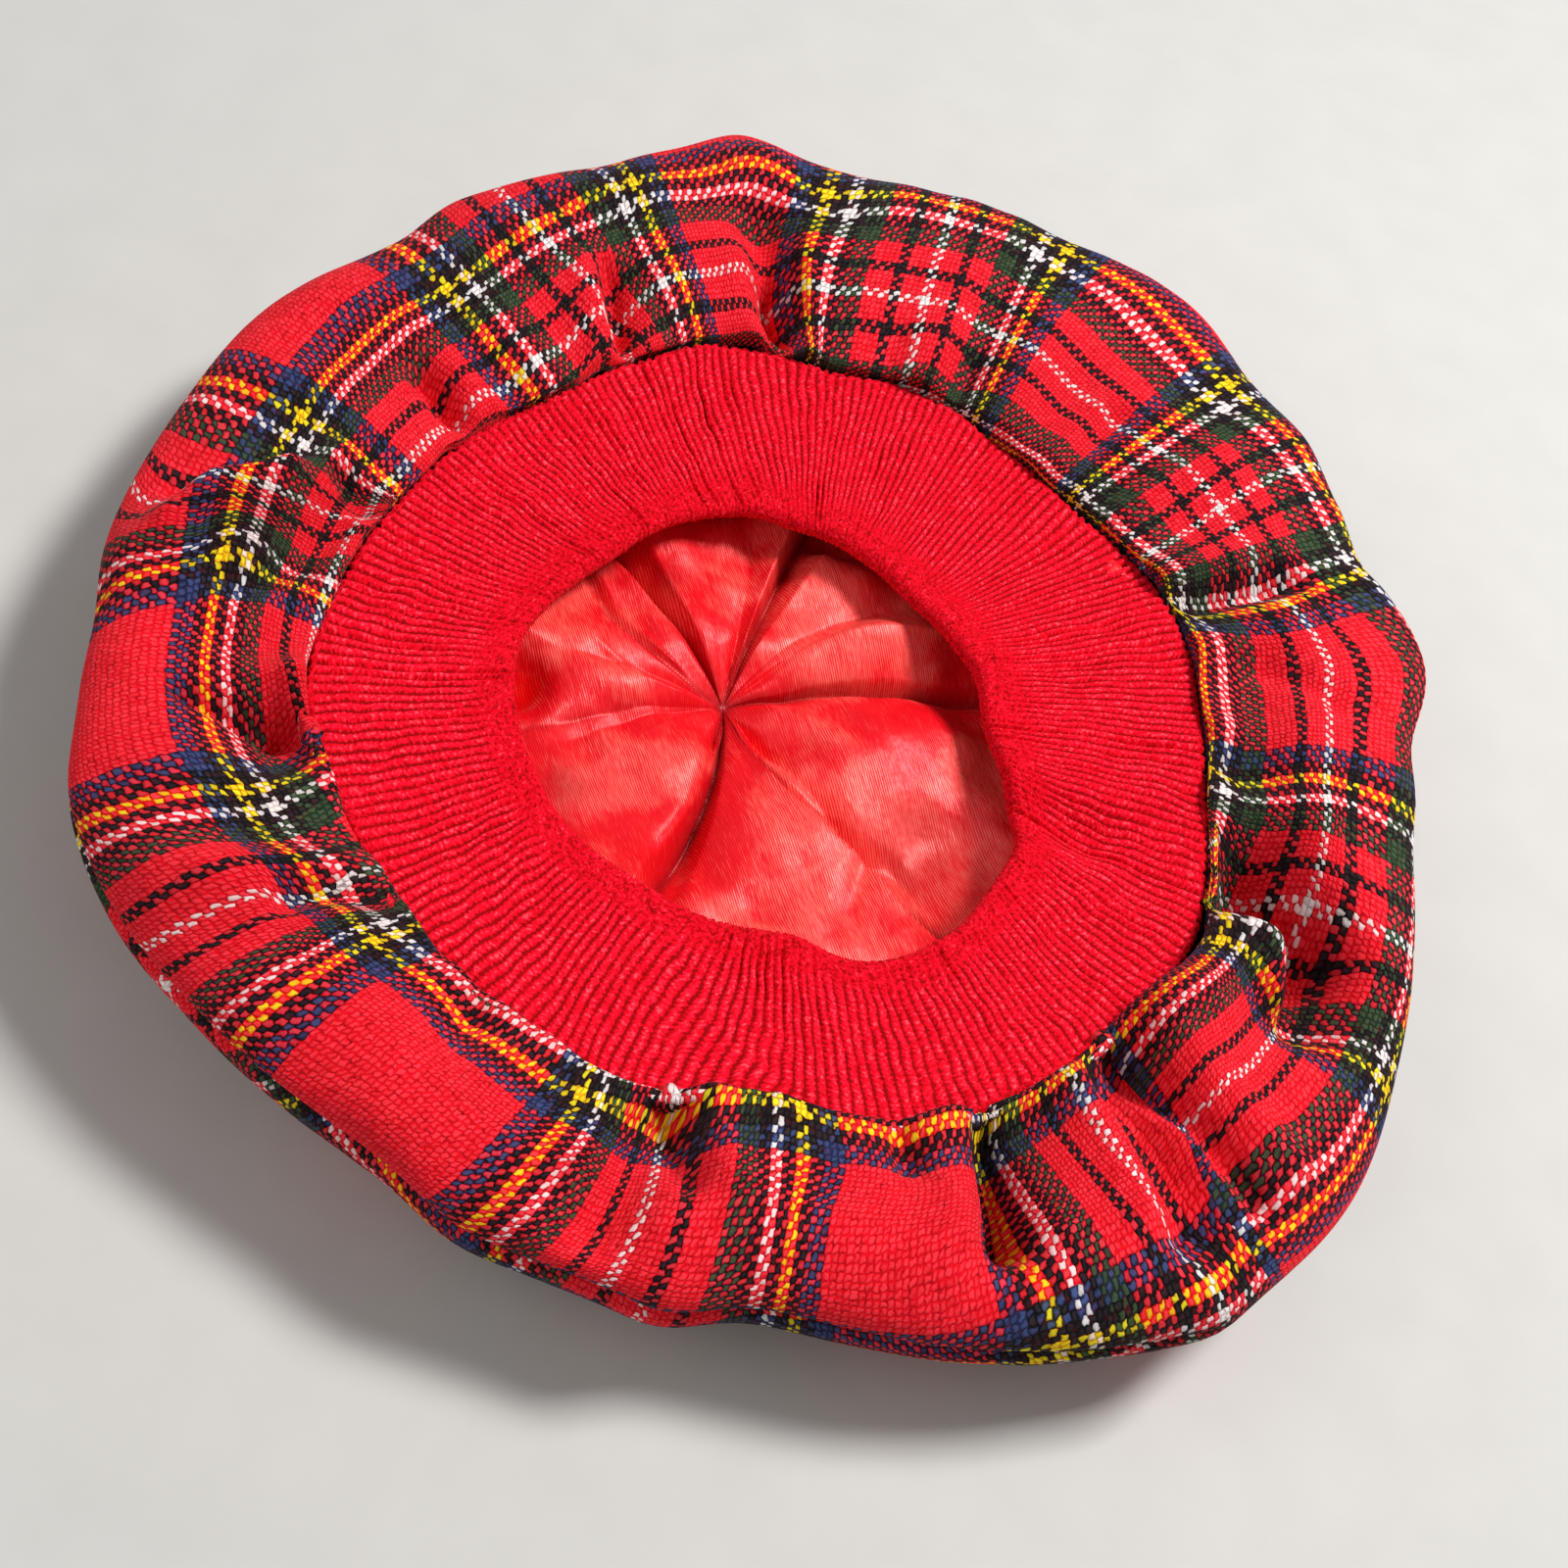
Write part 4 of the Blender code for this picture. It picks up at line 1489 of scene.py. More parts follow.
@dataclass
class UndersideRing:
    """The tartan ring that is gathered into the band and seamed to the top disc at the rim."""

    columns: int = 800
    rows: int = 54
    cloth: float = 0.0015
    seam: RimSeam = RimSeam()
    crest_share: float = 0.58
    rise_slope: float = 0.75
    rim_fade: float = 0.80
    gathers: Turns = Turns(30, 40, 7)
    gather_lift: float = 0.0030
    gather_reach: float = 0.14
    swells: float = 5.0         # swells of the gathers round the hat
    swell_start: float = 60.0
    gather_parts: tuple[float, float] = (0.62, 0.38)    # of the lift: even, and by the swells
    edge_rows: int = 4          # rows of the edge that is turned down beside the band
    edge_depth: float = 0.0030
    puckers: int = 84
    pucker_seed: int = 11
    pucker_widths: tuple[float, float] = (0.9, 2.2)
    pucker_heights: tuple[float, float] = (-0.0016, 0.0014)
    pucker_lengths: tuple[float, float] = (0.08, 0.32)
    pucker_leans: tuple[float, float] = (-4.0, 4.0)
    pucker_start: float = 0.03
    lip_reach: float = 0.035    # where the gathered edge rolls furthest over the band
    lip_roll: float = 0.0028
    lip_lift: float = 0.0011
    lip_turns: Turns = Turns(17, 50, 3)
    lip_parts: tuple[float, float] = (0.72, 0.28)       # of the roll: even, and by its turns
    main_valleys: tuple[float, float] = (0.17, 0.15)    # reach of full depth, and least share of it
    valleys: tuple[float, float] = (0.10, 0.20)
    lip_threads: float = 3.0    # threads that the rolled edge takes up
    near_share: float = 0.55    # how even the rows are; the rest crowd towards the band
    drape: tuple[Wave, ...] = (Wave(0.0006, 3, 0.034), Wave(0.00022, 4, 0.012))
    thread: float = 0.00115
    evened_columns: int = 7     # columns over which kinks between the stripes are smoothed
    strip: tuple[float, float] = (0.88, 0.062)

    def section(self, angle: np.ndarray, reach: np.ndarray) -> tuple[np.ndarray, np.ndarray]:
        """The ring's smooth section: it rises to its crest and falls round to the rim.

        Args:
            angle: Angles in degrees.
            reach: How far out from the band to the rim, 0 to 1.

        Returns:
            Radius and height of the points.
        """
        rim, band, edge = around(RIM, angle), around(BAND, angle), rim_radius(angle)
        seam = band.seam + GAP / 2
        crest = seam + self.crest_share * (edge - seam)
        rim_height = rim.height + GAP / 2 + self.seam.hem
        part = np.minimum(reach / self.crest_share, 1.0)
        rise = hermite(band.seam_height, rim.crest, self.rise_slope * (crest - seam), 0.0, part)
        turn = np.clip((reach - self.crest_share) / (1 - self.crest_share), 0.0, 1.0) * math.pi / 2
        fall = rim_height + (rim.crest - rim_height) * np.cos(turn)
        inside = reach < self.crest_share
        radius = np.where(inside, seam + part * (crest - seam), crest + (edge - crest) * np.sin(turn))
        return radius, np.where(inside, rise, fall)

    def surface(self, angle: np.ndarray, reach: np.ndarray) -> np.ndarray:
        """Points of the ring's outer face, with its folds.

        Args:
            angle: Angles in degrees.
            reach: How far out from the band to the rim, 0 to 1.

        Returns:
            The points, by angle and reach.
        """
        radius, height = self.section(angle, reach)
        x, y = plan(radius, angle)
        fade = 1 - smooth(reach, self.rim_fade, 1.0)
        lift, push_x, push_y = fold_shift(x, y, MAIN_FOLDS)
        fine_lift, fine_x, fine_y = fold_shift(x, y, FINE_FOLDS)
        lift = np.where(lift < 0, lift * rising(reach, *self.main_valleys), lift)
        lift = lift + fine_lift + self.gather(angle, reach) + ripple(x, y, *self.drape)
        lip = reach / self.lip_reach * np.exp(1 - reach / self.lip_reach)
        even_part, turning_part = self.lip_parts
        roll = even_part + turning_part * np.sin(self.lip_turns.phase(angle))
        roll_x, roll_y = plan(self.lip_roll * lip * roll, angle)
        lift = np.where(lift < 0, lift * rising(reach, *self.valleys), lift) + self.lip_lift * lip
        shift_x = fade * (push_x + fine_x) - roll_x
        shift_y = fade * (push_y + fine_y) - roll_y
        return stack(x + shift_x, y + shift_y, height + fade * lift)

    def gather(self, angle: np.ndarray, reach: np.ndarray) -> np.ndarray:
        """Lift of the gathers and puckers where the cloth is drawn into the band.

        Args:
            angle: Angles in degrees.
            reach: How far out from the band to the rim.

        Returns:
            The lift at each place.
        """
        wave = 0.5 - 0.5 * np.cos(self.gathers.phase(angle))
        even_part, swelling_part = self.gather_parts
        swell = np.sin(np.radians(self.swells * angle + self.swell_start))
        share = even_part + swelling_part * swell
        lift = self.gather_lift * share * wave * reach / self.gather_reach
        lift = lift * np.exp(1 - reach / self.gather_reach)
        start = smooth(reach, 0.0, self.pucker_start)
        draw = np.random.default_rng(self.pucker_seed)
        for _ in range(self.puckers):
            middle = draw.uniform(0, FULL_TURN)
            width = draw.uniform(*self.pucker_widths)
            height = draw.uniform(*self.pucker_heights)
            length = draw.uniform(*self.pucker_lengths)
            lean = draw.uniform(*self.pucker_leans)
            off = turn_between(angle, middle + lean * reach)
            lift = lift + height * bell(off, width) * np.exp(-reach / length) * start
        return lift

    def places(self) -> tuple[np.ndarray, np.ndarray]:
        """Where the grid's points are, by column and row.

        Returns:
            Their angles, and their reaches: 0 in the edge's rows and 1 in the rim seam's.
        """
        share = np.linspace(0.0, 1.0, self.rows + 1 - self.edge_rows - self.seam.rows)
        share = self.near_share * share + (1 - self.near_share) * share**2
        reach = np.concatenate([np.zeros(self.edge_rows), share, np.ones(self.seam.rows)])
        start = even(np.array(STRIPES[0][1:]), reach)
        angle = start - np.linspace(0.0, FULL_TURN, self.columns + 1)[:, None]
        return angle, np.broadcast_to(reach, angle.shape)

    def thread_counts(self, angle: np.ndarray, reach: np.ndarray) -> tuple[np.ndarray, np.ndarray]:
        """Place of each point on the tartan, in threads.

        Args:
            angle: Angles of the points, falling from the seam of the strip's ends.
            reach: Reach of the points.

        Returns:
            Threads along the strip, and threads across it.
        """
        threads = [stripe.thread for stripe in STRIPES]
        places = even(np.array([stripe[1:] for stripe in STRIPES]).T, reach[0])
        rows = [np.interp(-turned, -place, threads) for turned, place in zip(angle.T, places)]
        along = self.evened(np.stack(rows, axis=1))
        rows = even(np.array(ACROSS), np.linspace(0.0, 1.0, angle.shape[0]))
        across = np.stack([even(row, reach[0]) for row in rows])
        across += self.lip_threads * np.exp(-reach / self.lip_reach)
        across[:, : self.edge_rows] += self.edge_depth * self.edge_parts() / self.thread
        turned_in = np.linspace(0.0, 1.0, self.seam.rows + 1)[1:]
        across[:, -self.seam.rows:] -= self.seam.hem * turned_in / self.thread
        return along, across

    def edge_parts(self) -> np.ndarray:
        """How far down each of the edge's rows is, as a share of its depth."""
        return np.linspace(1.0, 0.0, self.edge_rows + 1)[:-1]

    def evened(self, along: np.ndarray) -> np.ndarray:
        """Thread counts with the kinks between the stripes' places smoothed.

        Args:
            along: The counts, by column and row.

        Returns:
            The smoothed counts.
        """
        kernel = np.ones(self.evened_columns) / self.evened_columns
        trend = np.linspace(along[0], along[-1], along.shape[0])
        margin = self.evened_columns // 2
        rest = np.pad(along - trend, ((margin, margin), (0, 0)), mode="edge")
        return trend + np.stack([np.convolve(row, kernel, mode="valid") for row in rest.T], axis=1)

    def build(self, finish: Nodes) -> bpy.types.Object:
        """Makes the ring and dresses it.

        Args:
            finish: The tartan.

        Returns:
            The piece.
        """
        angle, reach = self.places()
        points = self.surface(angle, reach)
        points[:, : self.edge_rows, 2] -= self.edge_depth * self.edge_parts()
        self.seam.turn_in(points, angle, -1)
        points[-1] = points[0]
        along, across = self.thread_counts(angle, reach)
        patterns = {"threads": (with_full_fields(along), across), "sett": (along, across)}
        return sew("underside_ring", points, patterns, finish, self.cloth)


# ---------------------------------------------------------------- the top disc


@dataclass
class TopDisc:
    """The round tartan top, which lies on the floor and turns up to the rim."""

    columns: int = 320
    flat_rows: int = 22
    wall_rows: int = 26
    seam: RimSeam = RimSeam()
    cloth: float = 0.0015
    floor_share: float = 0.66
    slack_share: float = 0.9                        # where its turned up side is fully slack
    slack: Wave = Wave(0.0007, 8, 0.03)
    pole: tuple[float, float] = (0.006, 0.004)
    thread: float = 0.001276
    turn: float = 11.3
    shift: tuple[float, float] = (10.4, -87.9)      # the middle's place on the cloth, in threads
    across: tuple[float, float] = (0.31, 0.31)

    def surface(self, angle: np.ndarray, share: np.ndarray) -> np.ndarray:
        """Points of the disc's outer face.

        Args:
            angle: Angles in degrees.
            share: How far out from the middle to the rim, 0 to 1.

        Returns:
            The points.
        """
        rim_height = around(RIM, angle).height - GAP / 2 - self.seam.hem
        turn = np.clip((share - self.floor_share) / (1 - self.floor_share), 0.0, 1.0) * math.pi / 2
        flat = np.minimum(share, self.floor_share)
        still = 1 - flat / self.floor_share
        x, y = plan(rim_radius(angle) * (flat + (1 - self.floor_share) * np.sin(turn)), angle)
        x, y = x + self.pole[0] * still, y + self.pole[1] * still
        uneven = ripple(x, y, self.slack) * smooth(share, self.floor_share, self.slack_share)
        return stack(x, y, rim_height * (1 - np.cos(turn)) + np.abs(uneven))

    def thread_counts(self, angle: np.ndarray, points: np.ndarray) -> tuple[np.ndarray, np.ndarray]:
        """Place of each point on the tartan, in threads, as if the disc were laid flat.

        Args:
            angle: Angles of the points.
            points: The points.

        Returns:
            Threads along X and along Y of the cloth.
        """
        x, y = plan(runs(points), angle - self.turn)
        return x / self.thread + self.shift[0], self.shift[1] - y / self.thread

    def build(self, finish: Nodes) -> bpy.types.Object:
        """Makes the disc and dresses it.

        Args:
            finish: The tartan.

        Returns:
            The piece.
        """
        flat = np.linspace(0.0, self.floor_share, self.flat_rows + 1)
        side = np.linspace(self.floor_share, 1.0, self.wall_rows + 1)[1:]
        share = np.concatenate([flat, side, np.ones(self.seam.rows)])
        angle = np.linspace(0.0, FULL_TURN, self.columns + 1)[:, None] + 0 * share
        points = self.surface(angle, share + 0 * angle)
        self.seam.turn_in(points, angle, 1)
        points[-1] = points[0]
        counts = self.thread_counts(angle, points)
        return sew("top_disc", points, {"threads": counts, "sett": counts}, finish, self.cloth)


# ---------------------------------------------------------------- the band


@dataclass
class KnittedBand:
    """The doubled ribbed band round the head opening, with its rolled free edge."""

    columns: int = 1750
    top_rows: int = 26
    roll_rows: int = 9
    under_rows: int = 9
    seam_rows: int = 6
    ribs: int = 250
    knit: float = 0.0050
    dip: float = 0.0016
    corner: float = 0.0014
    rib_depth: float = 0.00052
    rib_power: float = 3.0
    rib_strength: tuple[float, float] = (0.40, 0.60)    # least, and what the draw adds
    groove_depth: float = 0.00090
    groove_chance: float = 0.28
    groove_strength: tuple[float, float] = (0.4, 1.2)
    groove_wave: Wave = Wave(0.5, 33, 0.25)
    groove_middle: float = 0.7
    groove_limits: tuple[float, float] = (0.1, 1.3)
    rib_seed: int = 5
    broad_sway: Wave = Wave(0.60, 31, 0.60)         # sway of the ribs, in ribs
    broad_drift: tuple[float, float] = (0.5, -0.3)
    close_sway: Wave = Wave(0.10, 35, 0.14)
    close_drift: tuple[float, float] = (0.8, -0.5)
    fuzz: Wave = Wave(0.00012, 34, 1.1)
    fuzz_rows: float = 60.0
    uneven: Wave = Wave(0.0004, 41, 0.02)
    course: float = 0.0012
    mouth_share: float = 0.60       # how far round the section the free edge is
    mouth_width: float = 0.07       # how far from there the relief is calmed
    mouth_calm: float = 0.85

    def top_height(self, band: Band, share: Any) -> Any:
        """Height of the band's top face, a share of the way from its seam to the mouth."""
        straight = band.seam_height + share * (band.mouth_height - band.seam_height)
        return straight - self.dip * np.sin(math.pi * np.clip(share, 0.0, 1.0))

    def section(self, band: Band) -> list[np.ndarray]:
        """The band's closed section at each column: top, roll, underside and outer edge.

        Args:
            band: The band's row at each column.

        Returns:
            Radius and height of the points, and the way out of the surface there.
        """
        rows = Band(*(value[:, None] for value in band))
        seam = rows.seam - GAP / 2
        width = seam - rows.mouth
        half = self.knit / 2
        straight = width - half - self.corner
        top = seam - self.corner - np.linspace(0, 1, self.top_rows + 1)[:-1] * straight
        under = seam - self.corner - np.linspace(1, 0, self.under_rows + 1)[:-1] * straight
        top_height = self.top_height(rows, (seam - top) / width)
        under_height = self.top_height(rows, (seam - under) / width) - self.knit
        roll_out, roll_up = plan(1.0, np.linspace(90, 270, self.roll_rows + 1)[:-1])
        centre = seam - width + half
        middle = self.top_height(rows, (seam - centre) / width) - half
        edge = np.linspace(-90, 90, self.seam_rows + 1)[:-1]
        edge_out, edge_up = plan(1.0, edge)
        lower = np.where(edge < 0, 1.0, 0.0) * (self.knit - 2 * self.corner)
        edge_middle = self.top_height(rows, 0 * width) - self.corner - lower
        parts = [
            (top, top_height, 0.0, 1.0),
            (centre + half * roll_out, middle + half * roll_up, roll_out, roll_up),
            (under, under_height, 0.0, -1.0),
            (
                seam - self.corner + self.corner * edge_out,
                edge_middle + self.corner * edge_up,
                edge_out,
                edge_up,
            ),
        ]
        return [np.concatenate([part[k] + 0 * part[0] for part in parts], axis=1) for k in range(4)]

    def rib_counts(self, angle: np.ndarray, share: np.ndarray) -> np.ndarray:
        """Place of each point among the ribs, which sway a little.

        Args:
            angle: Angles in degrees.
            share: How far round the section, 0 to 1.

        Returns:
            Ribs from the angle 0, whole in the middle of a groove.
        """
        x, y = plan(1.0, angle)
        counts = -self.ribs * angle / FULL_TURN
        for wave, drift in ((self.broad_sway, self.broad_drift), (self.close_sway, self.close_drift)):
            counts = counts + ripple(x + drift[0] * share, y + drift[1] * share, wave)
        return counts

    def relief(self, angle: np.ndarray, share: np.ndarray) -> np.ndarray:
        """How far the fine ribs and the deeper grooves sink the surface.

        Args:
            angle: Angles in degrees.
            share: How far round the section, 0 to 1.

        Returns:
            The depth at each place.
        """
        draw = np.random.default_rng(self.rib_seed)
        counts = self.rib_counts(angle, share)
        groove = np.mod(np.rint(counts), self.ribs).astype(int)
        least, added = self.rib_strength
        strength = least + added * draw.random(self.ribs)[groove]
        chosen = draw.random(self.ribs) < self.groove_chance
        deep = np.where(chosen, draw.uniform(*self.groove_strength, self.ribs), 0.0)[groove]
        x, y = plan(1.0, angle)
        uneven = np.clip(self.groove_middle + ripple(x + share, y, self.groove_wave), *self.groove_limits)
        depth = self.rib_depth * strength + self.groove_depth * uneven * deep
        calm = 1 - self.mouth_calm * bell(share - self.mouth_share, self.mouth_width)
        fine = np.abs(np.cos(math.pi * counts)) ** self.rib_power
        return calm * fine * depth + ripple(angle, share * self.fuzz_rows, self.fuzz)

    def build(self, finish: Nodes) -> bpy.types.Object:
        """Makes the band and dresses it.

        Args:
            finish: The knit.

        Returns:
            The piece.
        """
        angle = np.linspace(0.0, -FULL_TURN, self.columns + 1)
        radius, height, out_radius, out_height = self.section(around(BAND, angle))
        rows = radius.shape[1]
        share = np.broadcast_to(np.arange(rows) / rows, radius.shape)
        sink = self.relief(angle[:, None] + 0 * share, share)
        x, y = plan(radius - sink * out_radius, angle[:, None])
        lift, _, _ = fold_shift(x, y, BAND_DENTS)
        points = stack(x, y, height - sink * out_height + lift + ripple(x, y, self.uneven))
        points = np.concatenate([points, points[:, :1]], axis=1)
        points[-1] = points[0]
        closed = np.concatenate([share, np.ones((len(share), 1))], axis=1)
        ribs = self.rib_counts(angle[:, None] + 0 * closed, np.mod(closed, 1.0))
        patterns = {"ribs": (ribs, runs(points) / self.course), "section": (closed, closed)}
        return sew("ribbed_band", points, patterns, finish)


# ---------------------------------------------------------------- the lining


class Spots(NamedTuple):
    """Plan points as seen from the lining's pinch: offsets, distance and direction in degrees."""

    x: np.ndarray
    y: np.ndarray
    distance: np.ndarray
    direction: np.ndarray

    def near(self, place: Dent | Shade) -> np.ndarray:
        """How near the points are to a round place of the lining, 1 in its middle."""
        x, y = plan(place.distance, place.angle)
        return bell(np.hypot(self.x - x, self.y - y), place.radius)


@dataclass
class SatinLining:
    """The satin lining: a shallow bowl below the band, creased from its pinched middle."""

    columns: int = 540
    rows: int = 72
    satin: float = 0.0009
    knit: float = 0.0050
    dip: float = 0.0016
    inset: float = 0.0040
    pinch: tuple[float, float] = (-0.0137, 0.0011)
    pinch_top: float = 0.0048
    puff_top: float = 0.0130
    puff_share: float = 0.30
    bend: float = 0.60
    end_slope: float = 1.6
    wrinkles: tuple[Wave, ...] = (Wave(0.0014, 21, 0.046), Wave(0.00050, 22, 0.014))
    wrinkle_start: tuple[float, float] = (0.0, 0.12)
    wrinkle_end: tuple[float, float] = (0.80, 0.97)
    crease_start: float = 0.012
    crease_fade: float = 0.7
    crease_share: float = 0.45      # of the creases' depth; the folded satin's edges give the rest
    crease_fall: float = 1.15       # how sharply a crease's sides rise
    crease_power: float = 1.25
    pleat_start: float = 0.006
    pleat_fade: float = 0.75
    pleat_power: float = 1.3
    edge_end: float = 0.048         # distance from the pinch where the edges' end angles hold
    edge_full: float = 0.026        # distance where the edges reach their height
    edge_most: float = 1.25         # most that they grow to further out
    # Painted shade of the lining: the grooves' width and falloff, the pinch's radius, and the groove depth
    # that is shaded fully.
    groove_width: float = 0.0011
    groove_power: float = 1.2
    pinch_dark: float = 0.0022
    deepest: float = 0.0044         # depth of the edges' deepest groove
    lowest: float = 0.0022 + 0.0012 + 1.4 * GAP
    across: tuple[float, float] = (0.18, 0.18)

    def surface(self, angle: np.ndarray, share: np.ndarray) -> np.ndarray:
        """Points of the lining's upper face.

        Args:
            angle: Angles in degrees.
            share: How far out from the pinch to its seam, 0 to 1.

        Returns:
            The points.
        """
        band = around(BAND, angle)
        part_out = self.inset / (band.seam - band.mouth)
        straight = band.seam_height + part_out * (band.mouth_height - band.seam_height)
        edge_height = straight - self.dip * np.sin(math.pi * part_out) - self.knit - GAP
        edge_x, edge_y = plan(band.seam - self.inset, angle)
        x = self.pinch[0] + share * (edge_x - self.pinch[0])
        y = self.pinch[1] + share * (edge_y - self.pinch[1])
        puff = np.sin(math.pi / 2 * np.minimum(share / self.puff_share, 1.0))
        middle = self.pinch_top + puff * (self.puff_top - self.pinch_top)
        part = np.clip((share - self.bend) / (1 - self.bend), 0.0, 1.0)
        slope = self.end_slope * (edge_height - self.puff_top)
        outer = hermite(self.puff_top, edge_height, 0.0, slope, part)
        height = np.where(share < self.bend, middle, outer)
        fade = smooth(share, *self.wrinkle_start) * (1 - smooth(share, *self.wrinkle_end))
        wrinkle = fade * ripple(x, y, *self.wrinkles)
        spots = self.from_pinch(x, y)
        height = height + self.folded(spots) - self.crease_depth(spots) + self.pleats(spots) + wrinkle
        return stack(x, y, np.maximum(height, self.lowest))

    def from_pinch(self, x: np.ndarray, y: np.ndarray) -> Spots:
        """Plan points as seen from the pinch."""
        out_x, out_y = x - self.pinch[0], y - self.pinch[1]
        return Spots(out_x, out_y, np.hypot(out_x, out_y), np.degrees(np.arctan2(out_y, out_x)))

    def crease_depth(self, spots: Spots) -> np.ndarray:
        """How far the lining's creases and hollows sink it.

        Args:
            spots: The points, as seen from the pinch.

        Returns:
            The depth at each point.
        """
        depth = np.zeros_like(spots.x)
        for crease in LINING_CREASES.values():
            fade = smooth(spots.distance, self.crease_fade * crease.reach, crease.reach)
            along = smooth(spots.distance, 0.0, self.crease_start) * (1 - fade)
            off = np.abs(turn_between(spots.direction, crease.angle) / crease.half_angle)
            valley = np.exp(-self.crease_fall * off**self.crease_power)
            depth += self.crease_share * crease.depth * along * valley
        for dent in LINING_DENTS.values():
            depth += dent.depth * spots.near(dent)
        return depth

    def folded(self, spots: Spots) -> np.ndarray:
        """Height of the flat parts between the edges that the satin is folded along.

        Args:
            spots: The points, as seen from the pinch.

        Returns:
            The height at each point.
        """
        part = np.clip(spots.distance / self.edge_end, 0.0, 1.0)
        height = np.zeros_like(spots.x)
        for start, end in zip(LINING_EDGES, (*LINING_EDGES[1:], LINING_EDGES[0])):
            from_angle = start.direction(part)
            width = np.mod(end.direction(part) - from_angle, FULL_TURN)
            turned = np.mod(spots.direction - from_angle, FULL_TURN)
            flat = start.height + turned / width * (end.height - start.height)
            height = np.where(turned < width, flat, height)
        return height * np.minimum(spots.distance / self.edge_full, self.edge_most)

    def pleats(self, spots: Spots) -> np.ndarray:
        """How far the lining's pleats raise it.

        Args:
            spots: The points, as seen from the pinch.

        Returns:
            The lift at each point.
        """
        height = np.zeros_like(spots.x)
        for pleat in LINING_PLEATS.values():
            part = np.clip((spots.distance - pleat.start) / (pleat.reach - pleat.start), 0.0, 1.0)
            off = turn_between(spots.direction, pleat.direction(part))
            ends = smooth(spots.distance, pleat.start, pleat.start + self.pleat_start)
            ends = ends * (1 - smooth(spots.distance, self.pleat_fade * pleat.reach, pleat.reach))
            height += pleat.height * ends * bell(off, pleat.half_angle, self.pleat_power)
        return height

    def dusk(self, spots: Spots) -> np.ndarray:
        """How dark the painted shade makes the satin in its sharp grooves, at its pinch and in its dim
        places, 0 to 1.

        Args:
            spots: The points, as seen from the pinch.

        Returns:
            The darkness at each point.
        """
        part = np.clip(spots.distance / self.edge_end, 0.0, 1.0)
        dark = bell(spots.distance, self.pinch_dark)
        for edge in LINING_EDGES:
            turn = turn_between(spots.direction, edge.direction(part))
            strength = min(max(-edge.height, 0.0) / self.deepest, 1.0)
            groove = bell(np.radians(turn) * spots.distance, self.groove_width, self.groove_power)
            dark = np.maximum(dark, strength * groove)
        for shade in LINING_SHADES:
            dark = np.maximum(dark, shade.dark * spots.near(shade))
        return dark

    def build(self, finish: Nodes) -> bpy.types.Object:
        """Makes the lining and dresses it.

        Args:
            finish: The satin.

        Returns:
            The piece.
        """
        share = np.linspace(0.0, 1.0, self.rows + 1)
        angle = np.linspace(0.0, -FULL_TURN, self.columns + 1)[:, None] + 0 * share
        points = self.surface(angle, share + 0 * angle)
        points[:, 0] = (*self.pinch, self.pinch_top)
        points[-1] = points[0]
        # The painted shade of the grooves, pinch and dim places goes to the satin on its own map.
        dusk = self.dusk(self.from_pinch(points[..., 0], points[..., 1]))
        return sew("satin_lining", points, {"dusk": (dusk, dusk)}, finish, self.satin)


# ---------------------------------------------------------------- the studio


@dataclass(frozen=True)
class Light:
    """A soft square light: where it stands to the camera's right, up and towards it, and its power."""

    name: str
    offset: tuple[float, float, float]
    side: float
    watts: float


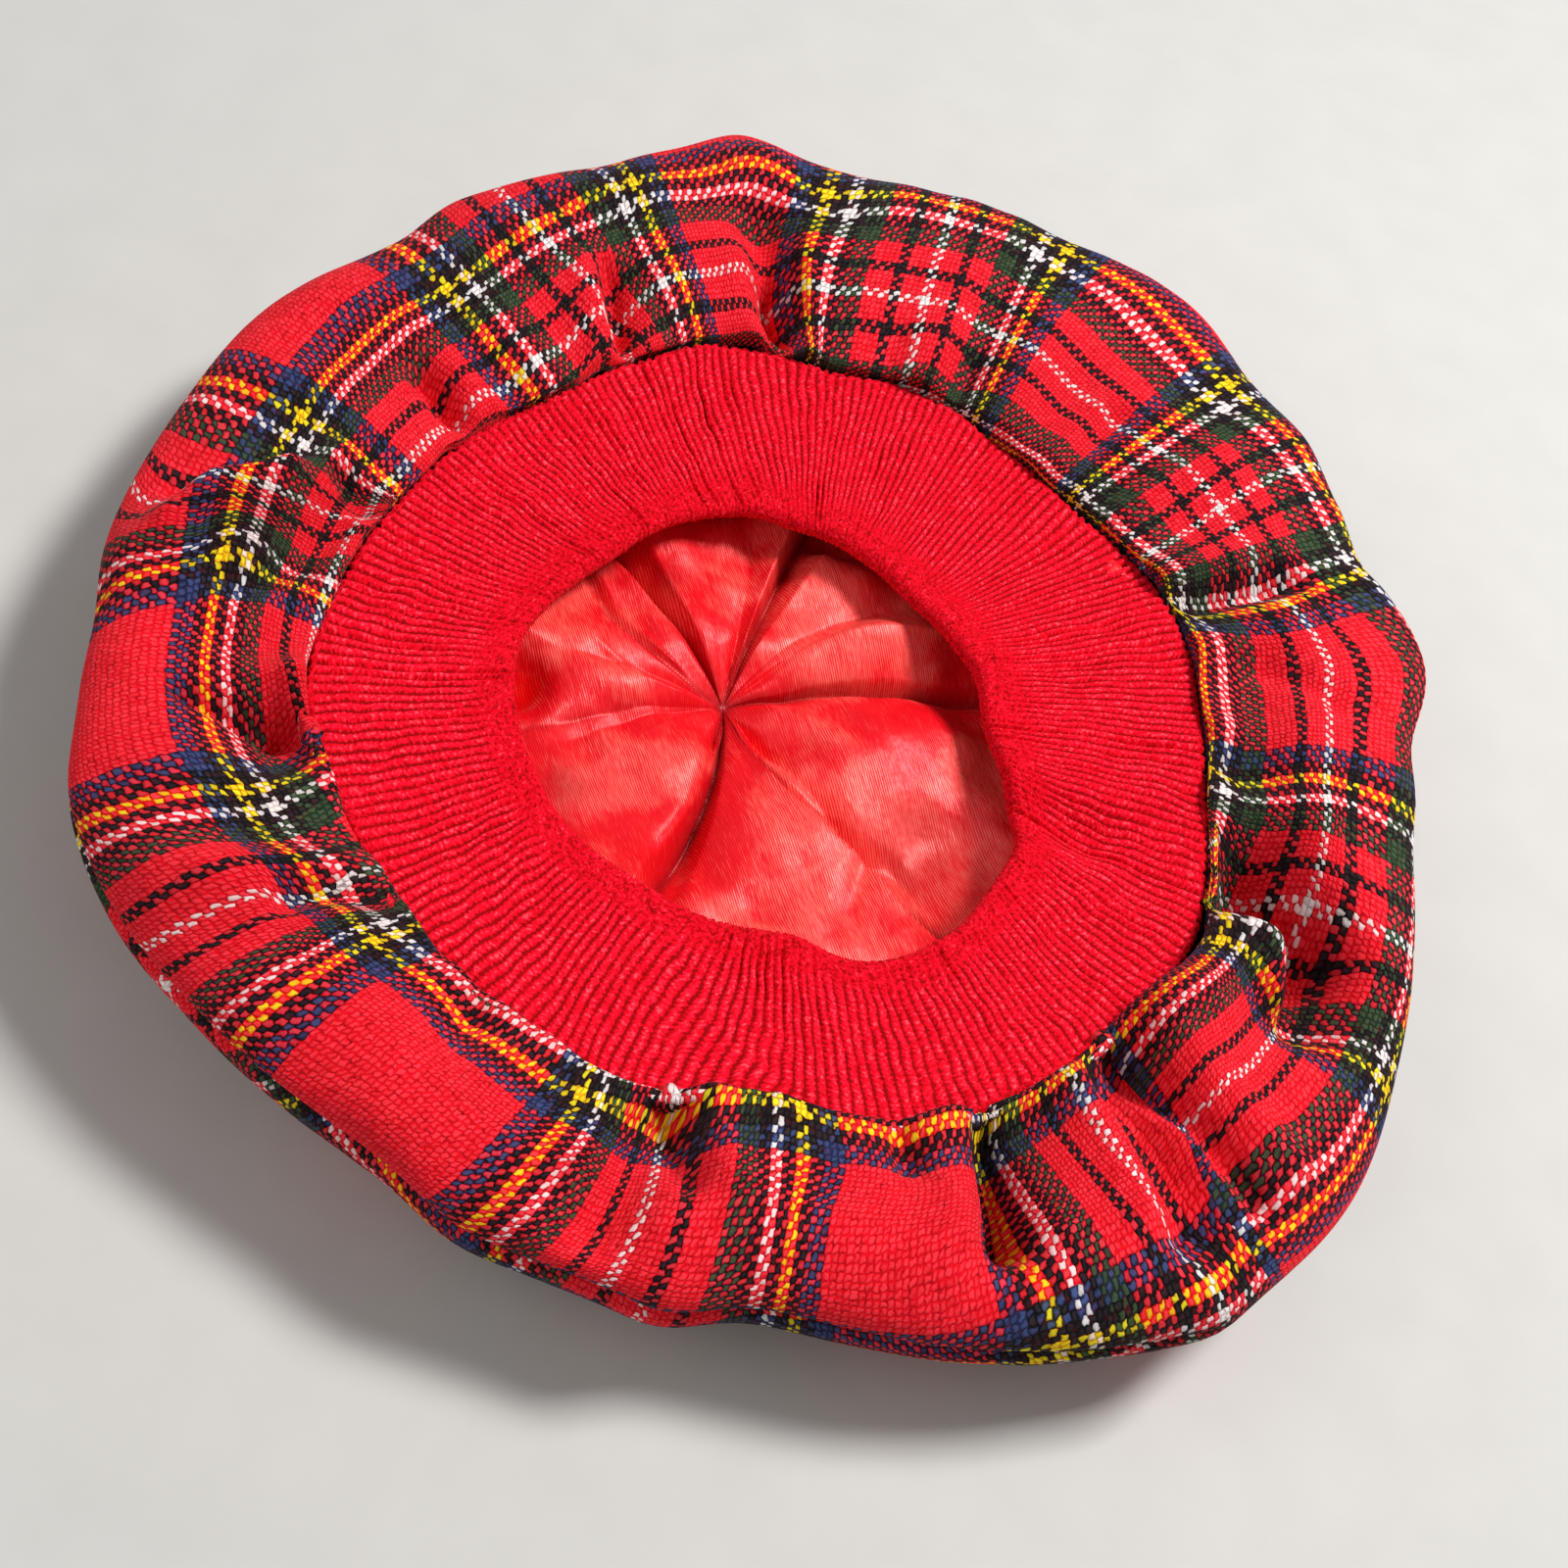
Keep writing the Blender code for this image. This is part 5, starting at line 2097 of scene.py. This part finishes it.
@dataclass
class Studio:
    """The camera, a plain pale floor and plain soft light."""

    elevation: float = 55.0
    roll: float = 22.0
    lens: float = 54.0
    sensor: float = 36.0
    nearest: float = 0.01
    distance: float = 0.460
    target: tuple[float, float, float] = (0.0042, -0.0270, 0.028)
    floor_side: float = 6.0
    room_light: float = 0.28
    view: str = "Standard"
    lights: tuple[Light, ...] = (
        Light("key_light", (0.72, 0.60, 0.60), 0.26, 14.2),
        Light("fill_light", (-0.9, 0.3, 1.0), 1.1, 4.6),
    )

    def axes(self) -> tuple[Vector, Vector, Vector]:
        """The camera's right, up and forward directions.

        Returns:
            The three, each of length 1.
        """
        lift, roll = math.radians(self.elevation), math.radians(self.roll)
        forward = Vector((0.0, math.cos(lift), -math.sin(lift)))
        level, up = Vector((1.0, 0.0, 0.0)), Vector((0.0, math.sin(lift), math.cos(lift)))
        right = level * math.cos(roll) + up * math.sin(roll)
        return right, up * math.cos(roll) - level * math.sin(roll), forward

    def place_camera(self) -> None:
        """Puts the camera at the photograph's angle."""
        right, up, forward = self.axes()
        data = bpy.data.cameras.new("camera")
        data.lens = self.lens
        data.sensor_width = self.sensor
        data.clip_start = self.nearest
        camera = bpy.data.objects.new("camera", data)
        bpy.context.scene.collection.objects.link(camera)
        turn = Matrix((right, up, -forward)).transposed().to_4x4()
        spot = Vector(self.target) - forward * self.distance
        camera.matrix_world = Matrix.Translation(spot) @ turn
        bpy.context.scene.camera = camera

    def lay_floor(self) -> None:
        """Lays the floor."""
        bpy.ops.object.select_all(action="DESELECT")
        bpy.ops.mesh.primitive_plane_add(size=self.floor_side, location=(0.0, 0.0, 0.0))
        floor = bpy.context.object
        floor.name = "floor"
        PlainFloor().build().dress(floor)

    def hang(self, lamp: Light) -> None:
        """Hangs a light so that it faces the hat.

        Args:
            lamp: The light.
        """
        right, up, forward = self.axes()
        data = bpy.data.lights.new(lamp.name, "AREA")
        data.size = lamp.side
        data.energy = lamp.watts
        light = bpy.data.objects.new(lamp.name, data)
        bpy.context.scene.collection.objects.link(light)
        target = Vector(self.target)
        aside, above, towards = lamp.offset
        light.location = target + right * aside + up * above - forward * towards
        light.rotation_euler = (target - light.location).to_track_quat("-Z", "Y").to_euler()

    def light_world(self) -> None:
        """Fills the shadows from all round."""
        world = bpy.data.worlds.new("soft_room")
        world.use_nodes = True
        background = world.node_tree.nodes["Background"]
        background.inputs["Color"].default_value = (1.0, 1.0, 1.0, 1.0)
        background.inputs["Strength"].default_value = self.room_light
        bpy.context.scene.world = world

    def build(self) -> None:
        """Sets up the whole studio."""
        self.place_camera()
        self.lay_floor()
        self.light_world()
        for lamp in self.lights:
            self.hang(lamp)
        bpy.context.scene.view_settings.view_transform = self.view


# ---------------------------------------------------------------- all together


def settle(piece: bpy.types.Object, node: str, words: str) -> None:
    """Lets a piece stand for a CAD node and reports it.

    Args:
        piece: The piece.
        node: The CAD node it stands for.
        words: What to report of it.
    """
    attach(piece, "root")
    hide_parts(node)
    triangles = sum(len(face.vertices) - 2 for face in piece.data.polygons)
    LOG.info("%s: %d triangles, %s", piece.name, triangles, words)


def main() -> None:
    """Builds the hat piece by piece, then the studio."""
    logging.basicConfig(level=logging.INFO, format="%(name)s: %(message)s")
    Studio().build()
    ring, disc, band, lining = UndersideRing(), TopDisc(), KnittedBand(), SatinLining()
    ring_piece = ring.build(Tartan("tartan_of_the_ring").build())
    settle(ring_piece, "crown_side", "the gathered tartan ring")
    disc_piece = disc.build(Tartan("tartan_of_the_top").build())
    settle(disc_piece, "crown_top", "the top disc")
    band_piece = band.build(Knit().build())
    settle(band_piece, "knit_band", "the ribbed band")
    lining_piece = lining.build(Satin().build())
    settle(lining_piece, "lining", "the satin lining")


if __name__ == "__main__":
    main()
